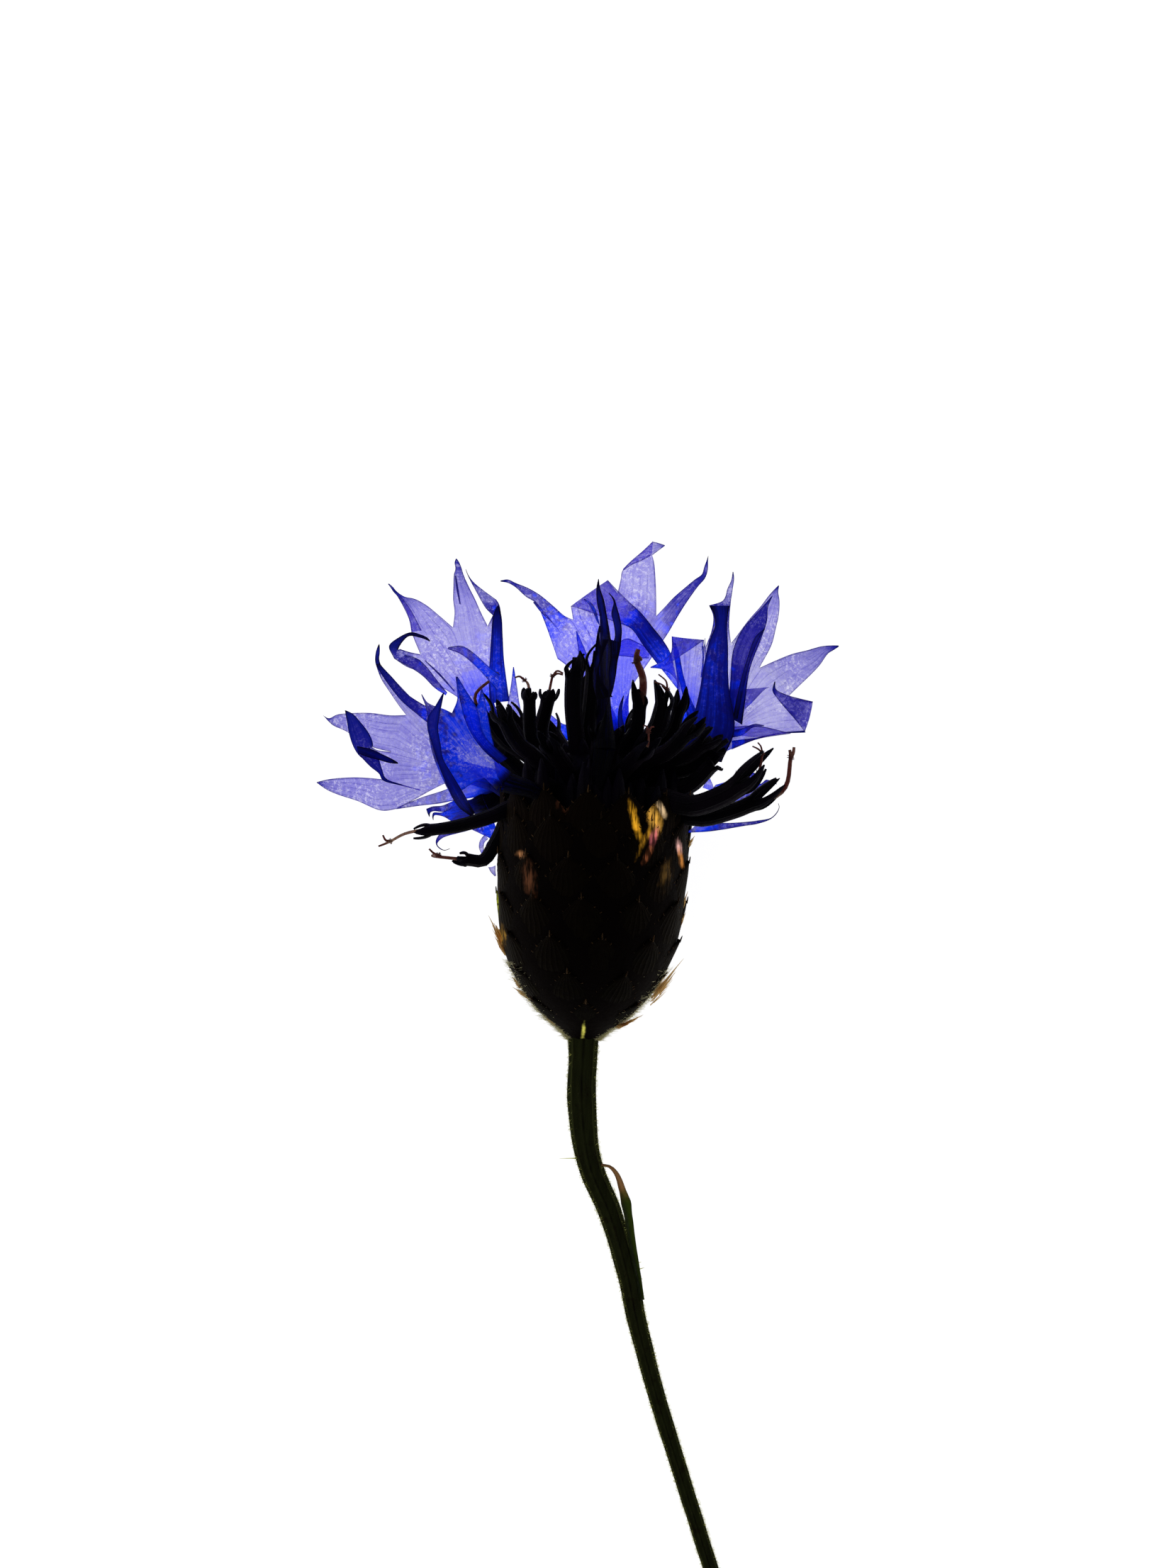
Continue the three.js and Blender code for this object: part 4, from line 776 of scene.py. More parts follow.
def tube(bm, course, radius, sides, steps, caps=True, leaf=None, margin=None):
    """A tube along a course, with radius(turn, t) at each turn round it and t along it.

    It is a sheet bent round, so its seam is joined. caps closes its ends.
    """
    frames = course.frames(steps)

    def place(u, v):
        centre, normal, binormal, _ = frames[round(v * steps)]
        turn = 2 * math.pi * u
        reach = radius(turn, v)
        return centre + normal * (reach * math.cos(turn)) + binormal * (reach * math.sin(turn))

    verts = sheet(bm, sides, steps, place, leaf, margin)
    bmesh.ops.remove_doubles(bm, verts=verts, dist=MERGED)
    if caps:
        verts = [vert for vert in verts if vert.is_valid]
        rims = {edge for vert in verts for edge in vert.link_edges if edge.is_boundary}
        bmesh.ops.holes_fill(bm, edges=list(rims), sides=0)


def lathe(bm, profile, steps):
    """A profile of (height, radius) turned round the +Y axis."""
    verts = [bm.verts.new((radius, height, 0.0)) for height, radius in profile]
    edges = [bm.edges.new(pair) for pair in zip(verts, verts[1:])]
    bmesh.ops.spin(
        bm, geom=[*verts, *edges], cent=(0, 0, 0), axis=(0, 1, 0), dvec=(0, 0, 0),
        angle=2 * math.pi, steps=steps, use_merge=True,
    )
    bmesh.ops.remove_doubles(bm, verts=bm.verts, dist=MERGED)
    for face in bm.faces:
        face.smooth = True
    bmesh.ops.recalc_face_normals(bm, faces=bm.faces)


def thickened(bm, thickness):
    """Gives sheets their thickness."""
    bmesh.ops.recalc_face_normals(bm, faces=bm.faces)
    bmesh.ops.solidify(bm, geom=bm.faces, thickness=thickness)
    for face in bm.faces:
        face.smooth = True


def merged(bm, extra):
    """Adds the mesh extra to bm and frees it."""
    passing = bpy.data.meshes.new("passing")
    extra.to_mesh(passing)
    bm.from_mesh(passing)
    extra.free()
    bpy.data.meshes.remove(passing)


def placed(name, mesh, materials, slot, *nodes):
    """A finished piece: its mesh in place, riding on the flower and standing for CAD nodes."""
    for material in materials:
        mesh.materials.append(material)
    piece = bpy.data.objects.new(name, mesh)
    bpy.context.scene.collection.objects.link(piece)
    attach(piece, "root")
    if nodes:
        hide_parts(*nodes)
    return piece


def piece_from(bm, name, materials, slot, *nodes):
    """A finished piece from a mesh in millimetres, measured from the foot of the head."""
    bmesh.ops.transform(bm, matrix=INTO_FRAME, verts=bm.verts)
    mesh = bpy.data.meshes.new(name)
    bm.to_mesh(mesh)
    bm.free()
    return placed(name, mesh, materials, slot, *nodes)


def strand(radii, *points):
    """The path of a strand: its points with its radius at each."""
    return list(zip(points, radii))


def tapering(course, steps, first, last):
    """The path of a strand along a course, from one radius to another."""
    return [(course.at(i / steps), lerp(first, last, i / steps)) for i in range(steps + 1)]


def clear_of_surface(paths, gap):
    """Those of the paths that stay over the surface."""
    return [path for path in paths if min(point.z for point, _ in path) > gap]


def strands(name, paths, material, slot, roundness=0):
    """Fine round strands, each a list of (point, radius), as one mesh piece."""
    curve = bpy.data.curves.new(name, "CURVE")
    curve.dimensions = "3D"
    curve.bevel_depth = 1.0
    curve.bevel_resolution = roundness
    curve.use_fill_caps = True
    for path in paths:
        spline = curve.splines.new("POLY")
        spline.points.add(len(path) - 1)
        for point, (place, radius) in zip(spline.points, path):
            point.co = (*place, 1.0)
            point.radius = radius
    drawn = bpy.data.objects.new(name + "_drawn", curve)
    bpy.context.scene.collection.objects.link(drawn)
    ready = drawn.evaluated_get(bpy.context.evaluated_depsgraph_get())
    mesh = bpy.data.meshes.new_from_object(ready)
    mesh.transform(INTO_FRAME)
    bpy.data.objects.remove(drawn)
    bpy.data.curves.remove(curve)
    return placed(name, mesh, [material], slot)


# ---------- Materials ----------

class Value:
    """A number that varies over a surface, for use in Python arithmetic."""

    def __init__(self, graph, socket):
        self.graph = graph
        self.socket = socket

    def math(self, operation, *others, first=None, clamp=False):
        terms = [self if first is None else first, *others]
        return self.graph.node(
            "ShaderNodeMath", {"operation": operation, "use_clamp": clamp}, dict(enumerate(terms)),
        )

    def __add__(self, other):
        return self.math("ADD", other)

    def __sub__(self, other):
        return self.math("SUBTRACT", other)

    def __mul__(self, other):
        return self.math("MULTIPLY", other)

    def __truediv__(self, other):
        return self.math("DIVIDE", other)

    def __rsub__(self, other):
        return self.math("SUBTRACT", self, first=other)

    __radd__ = __add__

    def fraction(self):
        return self.math("FRACT")

    def size(self):
        return self.math("ABSOLUTE")

    def capped(self):
        return self.math("ADD", 0.0, clamp=True)

    def rise(self, low, high):
        """0 below low, 1 above high, and a straight rise between them."""
        return ((self - low) / (high - low)).capped()

    def ease(self, low, high):
        """0 below low, 1 above high, and a smooth rise between them. low may be over high."""
        settings = {"interpolation_type": "SMOOTHSTEP"}
        if low > high:
            return 1 - self.graph.node("ShaderNodeMapRange", settings, {0: self, 1: high, 2: low})
        return self.graph.node("ShaderNodeMapRange", settings, {0: self, 1: low, 2: high})


class Graph:
    """The node tree of one material."""

    def __init__(self, name):
        self.material = bpy.data.materials.new(name)
        self.material.use_nodes = True
        self.tree = self.material.node_tree
        self.tree.nodes.clear()

    def node(self, kind, settings=None, inputs=None, output=0):
        """Adds a node, sets it up, fills its sockets and returns one of its outputs."""
        made = self.tree.nodes.new(kind)
        for name, value in (settings or {}).items():
            setattr(made, name, value)
        for socket, value in (inputs or {}).items():
            if isinstance(value, Value):
                self.tree.links.new(value.socket, made.inputs[socket])
            else:
                made.inputs[socket].default_value = value
        return Value(self, made.outputs[output])

    def position(self, stretch=(1.0, 1.0, 1.0)):
        """The point on the piece, in millimetres of the frame, stretched."""
        spot = self.node("ShaderNodeTexCoord", output="Object")
        scale = [part / MM for part in stretch]
        return self.node("ShaderNodeMapping", None, {"Vector": spot, "Scale": scale})

    def uv(self, name):
        """The two numbers of one of the piece's maps."""
        found = self.node("ShaderNodeUVMap", {"uv_map": name})
        parts = self.node("ShaderNodeSeparateXYZ", None, {0: found})
        return parts, Value(self, parts.socket.node.outputs[1])

    def noise(self, place, scale, detail=2.0, roughness=0.5, distortion=0.0):
        inputs = {
            "Vector": place, "Scale": scale, "Detail": detail,
            "Roughness": roughness, "Distortion": distortion,
        }
        return self.node("ShaderNodeTexNoise", None, inputs)

    def mix(self, share, a, b):
        """Colour a turning into colour b."""
        return self.node("ShaderNodeMix", {"data_type": "RGBA"}, {0: share, 6: a, 7: b}, output=2)

    def bump(self, height, depth):
        """A relief of so many millimetres."""
        return self.node("ShaderNodeBump", None, {"Height": height, "Distance": depth * MM})

    def surface(self, shader):
        out = self.tree.nodes.new("ShaderNodeOutputMaterial")
        self.tree.links.new(shader.socket, out.inputs["Surface"])
        return self.material


def rgb(colour):
    """A colour property as a node's colour."""
    return (*colour, 1.0)


def principled(graph, colour, roughness, normal=None, **constants):
    """A surface shader. constants are numbers on its own sockets, such as Sheen_Weight."""
    inputs = {"Base Color": colour, "Roughness": roughness}
    inputs.update({name.replace("_", " "): value for name, value in constants.items()})
    if normal:
        inputs["Normal"] = normal
    return graph.node("ShaderNodeBsdfPrincipled", None, inputs)


def blot(graph, centre, size, turn=0.0, softness=0.6):
    """1 in the middle of an oval patch and 0 past it. size is its half axes in millimetres."""
    inputs = {
        "Vector": graph.node("ShaderNodeTexCoord", output="Object"),
        "Location": [part * MM for part in centre],
        "Rotation": (0.0, 0.0, math.radians(turn)),
        "Scale": [half * MM for half in size],
    }
    spot = graph.node("ShaderNodeMapping", {"vector_type": "TEXTURE"}, inputs)
    away = graph.node("ShaderNodeVectorMath", {"operation": "LENGTH"}, {0: spot}, output=1)
    away = away + (graph.noise(graph.position(), 1.7, detail=2.0) - 0.5) * 0.9
    return away.ease(1.0, 1.0 - softness)


def shine(graph, colour):
    """Thin tissue that light passes through."""
    return graph.node("ShaderNodeBsdfTranslucent", None, {"Color": rgb(colour)})


def shared(graph, factor, first, second):
    """The first shader where factor is 0 and the second where it is 1."""
    return graph.node("ShaderNodeMixShader", None, {0: factor, 1: first, 2: second})


def petal_material(name, look):
    """Thin petal tissue that light shines through, frosted with bright cells and finely veined.

    The second number of the piece's Margin map is its tone: 0 pale, 0.4 dense, which is vivid
    near the disc and deeper away from it, 0.7 navy and 1 black. Navy and black paint the shade of
    folded and curled tissue and of the tubes down in the mouth.
    """
    graph = Graph(name)
    spot = graph.position()
    across, up = graph.uv("Leaf")
    rim, tone = graph.uv("Margin")
    lengthwise = graph.node("ShaderNodeCombineXYZ", None, {0: across * 9, 1: up * 1.6})
    streak = graph.noise(lengthwise, 1.0, detail=3.0, roughness=0.65) - 0.5
    cells = graph.noise(spot, look.frost_grain, detail=3.0, roughness=0.7, distortion=0.6)
    patches = graph.noise(spot, 0.3, detail=2.0).ease(0.38, 0.62)
    frost = cells.ease(0.47, 0.66) * (patches * 0.82 + 0.18) * look.frost
    mottle = graph.noise(spot, 2.1, detail=3.0, roughness=0.7) - 0.5
    cloud = graph.noise(spot, 0.22, detail=1.0).ease(0.35, 0.65)
    warp = graph.noise(spot, 0.6, detail=2.0) * look.vein_wander
    vein = ((across * look.veins + warp).fraction() - 0.5).size().ease(0.4, 0.5)
    vein = vein * (graph.noise(spot, 0.5).ease(0.3, 0.6) * 0.85 + 0.15)
    edge = rim.ease(0.12, 0.02)
    side = rim.ease(0.45, 0.05)
    tone = tone + mottle * 0.14 + streak * (tone * 0.5 + 0.16) + cloud * 0.05
    tone = tone + side * tone.rise(0.1, 0.6) * 0.1 - frost * 0.04
    thin = tone.rise(0.02, -0.14) * 0.14
    dense, navy, black = tone.rise(0.03, 0.4), tone.rise(0.4, 0.7), tone.rise(0.7, 0.97)
    gleam = frost * (1 - navy) * (1 - dense * 0.4)
    near = blot(graph, DISC_CENTRE, VIVID_REACH, softness=0.2)
    dense_tint = graph.mix(near, rgb(look.deep), rgb(look.vivid))

    clearness = look.see_through + thin + frost * 0.12 - mottle * 0.16 - streak * 0.22 - vein * 0.14
    cover = (1 - (clearness - edge * 0.16).capped() * (1 - dense)).capped()
    tint = graph.mix(cloud, rgb(look.petal), rgb(look.violet))
    tint = graph.mix(dense, tint, dense_tint)
    tint = graph.mix(gleam, tint, rgb(look.frost_colour))
    tint = graph.mix(navy, tint, rgb(look.navy))
    tint = graph.mix(black, tint, rgb(look.black))
    tint = graph.mix(vein * 0.5, tint, rgb(look.navy))
    tint = graph.mix(edge * 0.7, tint, rgb(look.margin))
    relief = graph.bump(vein * 0.6 + mottle + cells, 0.06)
    # Painted glow: dense tissue near the disc emits vivid blue light, beside the light that shines
    # through it
    painted_glow = graph.mix(near * dense * (1 - navy), BLACK, rgb(look.vivid_glow))
    front = principled(
        graph, tint, 0.5, relief, Specular_IOR_Level=0.3, Emission_Color=painted_glow, Emission_Strength=0.7,
    )

    dense_light = shared(graph, near, shine(graph, look.deep_glow), shine(graph, look.vivid_glow))
    pale_light = shared(graph, near, shine(graph, look.glow), shine(graph, look.near_glow))
    behind = shared(graph, dense, pale_light, dense_light)
    behind = shared(graph, gleam * 0.8, behind, shine(graph, look.frost_colour))
    behind = shared(graph, (navy + vein * 0.35).capped(), behind, shine(graph, look.navy_glow))
    behind = shared(graph, (black + edge * 0.55).capped(), behind, shine(graph, look.black))
    tissue = shared(graph, look.backlight, front, behind)
    return graph.surface(shared(graph, cover, graph.node("ShaderNodeBsdfTransparent"), tissue))


def tube_material(name, look):
    """The disc florets, painted black violet as the shade of florets against the light below: ribbed,
    warmer and smoother at their mouths.
    """
    graph = Graph(name)
    spot = graph.position()
    across, up = graph.uv("Leaf")
    grain = graph.noise(spot, 3.2, detail=3.0, roughness=0.65)
    rib = ((across * 2).fraction() - 0.5).size().ease(0.34, 0.5)
    tone = graph.mix(graph.noise(spot, 0.45).ease(0.35, 0.65), rgb(look.tube), rgb(look.tube_warm))
    tone = graph.mix(up.ease(0.62, 1.0) * 0.65, tone, rgb(look.lobe))
    tone = graph.mix(rib * 0.5, tone, rgb(look.tube))
    relief = graph.bump(grain + rib * 0.7, 0.06)
    return graph.surface(principled(graph, tone, 0.5 + grain * 0.3, relief, Specular_IOR_Level=0.06))


def mound_material(name, look):
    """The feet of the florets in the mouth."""
    graph = Graph(name)
    streaks = graph.noise(graph.position((1.0, 0.22, 1.0)), 1.8, detail=4.0)
    tone = graph.mix(streaks.ease(0.4, 0.7), rgb(look.tube), rgb(look.lobe))
    return graph.surface(principled(graph, tone, 0.75, graph.bump(streaks, 0.2), Specular_IOR_Level=0.04))


def style_material(name, look):
    """Styles and stigmas: amber brown with paler stretches, dusted with pollen."""
    graph = Graph(name)
    spot = graph.position()
    pale = graph.noise(spot, 0.8, detail=2.0).ease(0.48, 0.68)
    dust = graph.noise(spot, 7.0, detail=2.0).ease(0.55, 0.7)
    tone = graph.mix(pale, rgb(look.style), rgb(look.style_pale))
    tone = graph.mix(dust * 0.5, tone, rgb(look.style_pale))
    front = principled(graph, tone, 0.6 + dust * 0.2, graph.bump(dust, 0.04))
    behind = shared(graph, pale, shine(graph, look.style), shine(graph, look.style_pale))
    return graph.surface(shared(graph, 0.6, front, behind))


def bract_material(name, look):
    """Leathery bracts, painted almost black as the shade of bracts against the light below, with fine
    ribs, olive flanks, brown tips and thin windows that give off a painted amber glow.
    """
    graph = Graph(name)
    spot = graph.position()
    across, up = graph.uv("Leaf")
    rim, row = graph.uv("Margin")
    grain = graph.noise(spot, 2.4, detail=4.0, roughness=0.65)
    fibre = ((across * 9 + graph.noise(spot, 0.8)).fraction() - 0.5).size().ease(0.2, 0.5)
    edge = rim.ease(0.3, 0.06)
    tip = up.ease(0.72, 0.98)
    tone = graph.mix(grain.ease(0.35, 0.7), rgb(look.bract), rgb(look.olive))
    tone = graph.mix(fibre * 0.4, tone, rgb(look.bract))
    tone = graph.mix(row * 0.6, tone, rgb(look.brown))
    tone = graph.mix(edge * 0.85, tone, rgb(look.margin))
    tone = graph.mix(tip * (1 - edge) * 0.4, tone, rgb(look.brown))
    streak = graph.noise(graph.position((1.9, 0.24, 0.2)), 1.8, detail=3.0, roughness=0.7)
    # Painted glow: each thin place is painted amber and emits amber light, which stands in for light
    # shining through it
    light = BLACK
    for centre, size, turn, amber in PAINTED_AMBER_GLOWS:
        painted_glow_mask = blot(graph, centre, size, turn, 0.9) * (streak.ease(0.4, 0.6) * 0.94 + 0.06)
        tone = graph.mix(painted_glow_mask, tone, rgb(amber))
        light = graph.mix(painted_glow_mask, light, rgb(amber))
    relief = graph.bump(grain * 0.6 + fibre * 0.4, 0.08)
    return graph.surface(principled(
        graph, tone, 0.6 + grain * 0.3, relief,
        Emission_Color=light, Emission_Strength=look.painted_window_glow, Specular_IOR_Level=0.02,
        Sheen_Weight=look.rim_glow, Sheen_Roughness=0.35, Sheen_Tint=rgb(look.rim),
    ))


def fibre_material(name, colour, pale, through=0.85):
    """Dry hairs and bristles that light shines through. pale is the colour of that light."""
    graph = Graph(name)
    share = graph.noise(graph.position(), 1.1, detail=2.0).ease(0.4, 0.62)
    tone = graph.mix(share * 0.3, rgb(colour), rgb(pale))
    front = principled(graph, tone, 0.7, Specular_IOR_Level=0.1)
    return graph.surface(shared(graph, through, front, shine(graph, pale)))


def stem_material(name, look):
    """A stalk painted near black as shade over its green, with pale ribs, brown flecks and a film of
    cobweb.
    """
    graph = Graph(name)
    across, up = graph.uv("Leaf")
    spot = graph.position()
    grain = graph.noise(graph.position((1.0, 0.16, 1.0)), 3.0, detail=4.0, roughness=0.6)
    ridge = ((across * STEM_RIBS).fraction() - 0.5).size().ease(0.5, 0.3)
    fleck = graph.noise(spot, 1.3, detail=3.0).ease(0.58, 0.72)
    web = graph.noise(graph.position((1.0, 0.5, 1.0)), 5.0, detail=4.0, roughness=0.8).ease(0.6, 0.7)
    tone = graph.mix(grain.ease(0.3, 0.7), rgb(look.stem), rgb(look.green))
    tone = graph.mix(ridge * 0.35, tone, rgb(look.rib))
    tone = graph.mix(fleck * 0.6, tone, rgb(look.fleck))
    tone = graph.mix(web * 0.25, tone, rgb(look.hair))
    relief = graph.bump(grain + web * 0.5, 0.08)
    return graph.surface(principled(
        graph, tone, 0.6 + web * 0.2, relief, Specular_IOR_Level=0.0,
        Sheen_Weight=look.rim_glow, Sheen_Roughness=0.35, Sheen_Tint=rgb(look.rim),
    ))


def leaf_material(name, look):
    """The small stem leaf: green at its foot, brown and dry at its curled tip."""
    graph = Graph(name)
    spot = graph.position()
    across, up = graph.uv("Leaf")
    rim, _ = graph.uv("Margin")
    grain = graph.noise(spot, 2.0, detail=3.0)
    dry = (up + (grain - 0.5) * 0.12).ease(0.66, 0.78)
    vein = (across - 0.5).size().ease(0.09, 0.0)
    tone = graph.mix(grain.ease(0.35, 0.7), rgb(look.leaf), rgb(look.green))
    tone = graph.mix(vein * 0.5, tone, rgb(look.rib))
    tone = graph.mix(dry, tone, rgb(look.dry))
    tone = graph.mix(rim.ease(0.09, 0.02) * 0.6, tone, rgb(look.fleck))
    front = principled(graph, tone, 0.6 + grain * 0.2, graph.bump(grain, 0.08))
    behind = shared(graph, dry, shine(graph, look.leaf_light), shine(graph, look.dry_light))
    return graph.surface(shared(graph, 0.6, front, behind))


def surface_material(name, look):
    """A pale table lit softly from below, with the faintest mottling."""
    graph = Graph(name)
    mottle = graph.noise(graph.position(), 0.02, detail=2.0)
    tone = graph.mix(mottle, rgb(look.floor), WHITE)
    inputs = {
        "Base Color": tone, "Roughness": 0.9, "Specular IOR Level": 0.0,
        "Emission Color": tone, "Emission Strength": look.glow,
    }
    return graph.surface(graph.node("ShaderNodeBsdfPrincipled", None, inputs))


# ---------- Pieces ----------

def build_stem(look):
    """The ribbed stem. Returns its course and its radius for the hairs."""
    bm = new_mesh()
    course = Course([station[:3] for station in STEM])
    radii = [station[3] for station in STEM]
    places = [0.0]
    for a, b in zip(STEM, STEM[1:]):
        places.append(places[-1] + (Vector(b[:3]) - Vector(a[:3])).length)

    def radius(turn, t):
        reach = t * places[-1]
        step = max(i for i, place in enumerate(places[:-1]) if place <= reach + 1e-6)
        share = (reach - places[step]) / (places[step + 1] - places[step])
        ribs = 1 + look.rib_depth * math.cos(STEM_RIBS * turn)
        lumps = noise.noise(Vector((math.cos(turn), math.sin(turn), reach * 0.5)))
        return lerp(radii[step], radii[step + 1], share) * ribs * (1 + STEM_SWELL * lumps)

    tube(bm, course, radius, 6 * STEM_RIBS, STEM_STEPS)
    bmesh.ops.recalc_face_normals(bm, faces=bm.faces)
    piece_from(bm, "stem", [stem_material("stem_green", look)], "stem", "stem")
    return course, radius


def hair(root, out, lean, length, chance):
    """The path of a hair that bends from out towards lean."""
    middle = root + (out * 0.6 + lean * 0.4) * length
    end = root + (out * chance.uniform(0.4, 0.9) + lean * chance.uniform(0.7, 1.3)) * length
    return strand(HAIR_RADII, root, middle, end)


def build_stem_hairs(look, course, radius):
    """Short cobweb hairs all over the stem, and a few long ones at its edge."""
    chance = random.Random(7)
    frames = course.frames(HAIR_STEPS)
    paths = []
    for _ in range(look.hairs):
        t = chance.random()
        centre, normal, binormal, ahead = frames[round(t * HAIR_STEPS)]
        turn = chance.uniform(0, 2 * math.pi)
        out = normal * math.cos(turn) + binormal * math.sin(turn)
        if abs(out.z) > chance.uniform(*HAIR_SIDES):
            continue
        around = out.cross(ahead)
        length = chance.choice(HAIR_LENGTHS) * look.hair_length
        lean = ahead * chance.uniform(-1.0, 1.0) + around * chance.uniform(-1.0, 1.0)
        root = centre + out * (radius(turn, t) - HAIR_ROOT)
        paths.append(hair(root, out, lean, length, chance))
    for start, end in LONG_HAIRS:
        start, end = Vector(start), Vector(end)
        middle = start.lerp(end, 0.5) + Vector((0.05, 0.06, 0.05))
        paths.append(strand(LONG_HAIR_RADII, start, middle, end))
    cobweb = fibre_material("cobweb", look.hair, look.pale_hair)
    strands("stem_hairs", clear_of_surface(paths, HAIR_GAP), cobweb, "stem")


def build_stem_leaf(look):
    """A narrow leaf with raised margins that twists towards its curled tip."""
    bm = new_mesh()
    course = Course([station[:3] for station in STEM_LEAF])
    widths = [station[3] for station in STEM_LEAF]
    frames = course.frames(LEAF_STEPS, Vector((0.5, 0.0, 1.0)))

    def width(v):
        return along(widths, v) * (0.9 + 0.2 * noise.noise(Vector((0, 0, 9 * v))))

    def place(u, v):
        centre, normal, binormal, _ = frames[round(v * LEAF_STEPS)]
        across = 2 * u - 1
        trough = LEAF_TROUGH * width(v) * across * across
        twist = lerp(0.0, LEAF_TWIST, ease(0.55, 1.0, v))
        side = binormal * math.cos(twist) + normal * math.sin(twist)
        up = normal * math.cos(twist) - binormal * math.sin(twist)
        return centre + side * (across * width(v)) + up * trough

    sheet(bm, 8, LEAF_STEPS, place, margin=lambda u, v: (width(v) * 2 * min(u, 1 - u), 0.0))
    thickened(bm, LEAF_THICKNESS)
    piece_from(bm, "stem_leaf", [leaf_material("small_leaf", look)], "stem", "stem_leaf")


def urn_radius(height):
    """The radius of the involucre's body at a height, which stays that of the rim above it."""
    level = min(max(height, 0.0), MOUTH_HEIGHT)
    for (low, inner), (high, outer) in zip(URN, URN[1:]):
        if level <= high:
            return lerp(inner, outer, (level - low) / (high - low))
    return URN[-1][1]


def smooth_urn(steps=48):
    """The urn's outline as a smooth run of (height, radius)."""
    course = Course([(radius, height, 0.0) for height, radius in URN])
    return [(point.y, point.x) for point in (course.at(i / steps) for i in range(steps + 1))]


def bract_places():
    """(row, angle, tip height, length, half width) of every bract."""
    for row, (tip_height, length, number, half_width) in enumerate(BRACT_ROWS):
        for i in range(number):
            angle = (i + 0.5 * (row % 2) + BRACT_TWIST * row) / number * 2 * math.pi
            yield row, angle, tip_height, length, half_width


def bract_surface(angle, tip_height, length, half_width, lift, skew):
    """place(u, v) on a bract's outer face and width(v), for a bract that narrows to a sharp tip."""
    def width(v):
        outline = 0.8 + 0.4 * v if v < 0.5 else 1 - (2 * v - 1) ** 1.7
        return max(half_width * outline, 0.03)

    def place(u, v):
        across = 2 * u - 1
        height = tip_height - length * (1 - v)
        rise = lerp(-BRACT_SINK, lift, v ** 1.5) + BRACT_KEEL * (1 - across * across)
        reach = urn_radius(height) + rise
        turn = angle + (across * width(v) + skew * v * v) / urn_radius(height)
        return HEAD_TURN @ Vector((reach * math.sin(turn), height, reach * math.cos(turn)))

    return place, width


def build_involucre(look):
    """The urn with its open mouth, its bracts, and their bristles, torn tips and felt."""
    chance = random.Random(3)
    bracts = new_mesh()
    fringe = []
    for row, angle, tip_height, length, half_width in bract_places():
        lift = BRACT_LIFT * chance.uniform(0.5, 1.5)
        skew = chance.uniform(-BRACT_SKEW, BRACT_SKEW)
        place, width = bract_surface(angle, tip_height, length, half_width, lift, skew)
        sheet(
            bracts, *BRACT_CELLS, place,
            leaf=lambda u, v, shift=chance.randrange(BRACT_FIBRES): (u + shift, v),
            margin=lambda u, v, row=row: (width(v) * 2 * min(u, 1 - u), row / len(BRACT_ROWS)),
        )
        fringe += bract_fringe(place, width, chance, look.fringe_length, look.teeth)
    thickened(bracts, BRACT_THICKNESS)

    bm = new_mesh()
    rim = urn_radius(MOUTH_HEIGHT) - RIM_THICKNESS
    inside = [(MOUTH_HEIGHT, rim), (FLOOR_HEIGHT, rim - RIM_THICKNESS), (FLOOR_HEIGHT, 0.0)]
    lathe(bm, [(0.0, 0.0), *smooth_urn(), *inside], URN_STEPS)
    bmesh.ops.transform(bm, matrix=HEAD_TURN, verts=bm.verts)
    merged(bm, bracts)
    piece_from(bm, "involucre", [bract_material("bract_leather", look)], "bract", "involucre")
    tips = [path for ends in TORN_TIPS for path in torn_tip(*ends, chance)]
    dressings = (
        ("fringe", fringe, fibre_material("comb", look.fringe, look.fringe_light, 0.3)),
        ("tips", tips, fibre_material("torn", look.tip, look.tip_light)),
        ("felt", felt(look.felt, chance), fibre_material("felt", look.fringe, look.felt_light)),
    )
    for name, paths, material in dressings:
        strands("involucre_" + name, clear_of_surface(paths, BRISTLE_GAP), material, "bract")


def felt(number, chance):
    """Short pale hairs over the lower bracts, most of them at their sides."""
    paths = []
    for _ in range(number):
        height = FELT_HEIGHT * chance.random() ** 1.8
        turn = chance.choice((-1, 1)) * math.pi / 2 + chance.gauss(0.0, FELT_SPREAD)
        out = Vector((math.sin(turn), -0.4, math.cos(turn)))
        root = HEAD_TURN @ Vector((out.x * urn_radius(height), height, out.z * urn_radius(height)))
        lean = Vector((chance.uniform(-1, 1), chance.uniform(-0.2, 1.2), chance.uniform(-1, 1)))
        paths.append(hair(root, out, lean, chance.uniform(*FELT_LENGTH), chance))
    return paths


def torn_tip(root, tip, width, chance):
    """A dry golden bract tip that stands out, frayed into bristles."""
    root, tip = Vector(root), Vector(tip)
    ahead = tip - root
    aside = Vector((-ahead.y, ahead.x, 0.0)).normalized()
    paths = []
    for _ in range(TIP_BRISTLES):
        share = chance.uniform(-1.0, 1.0)
        depth = Vector((0.0, 0.0, chance.uniform(-TIP_DEPTH, TIP_DEPTH)))
        start = root + aside * (share * width) + ahead * chance.uniform(-0.3, 0.1) + depth
        reach = chance.uniform(0.35, 1.0) * (1 - 0.55 * abs(share))
        end = root + ahead * reach + aside * (share * width * chance.uniform(0.4, 1.5)) + depth
        bent = start.lerp(end, 0.55) + aside * chance.uniform(-0.04, 0.04)
        paths.append(strand(TIP_RADII, start, bent, end))
    paths.append(strand(TIP_MIDRIB_RADII, root, root + ahead * 0.6, tip))
    return paths


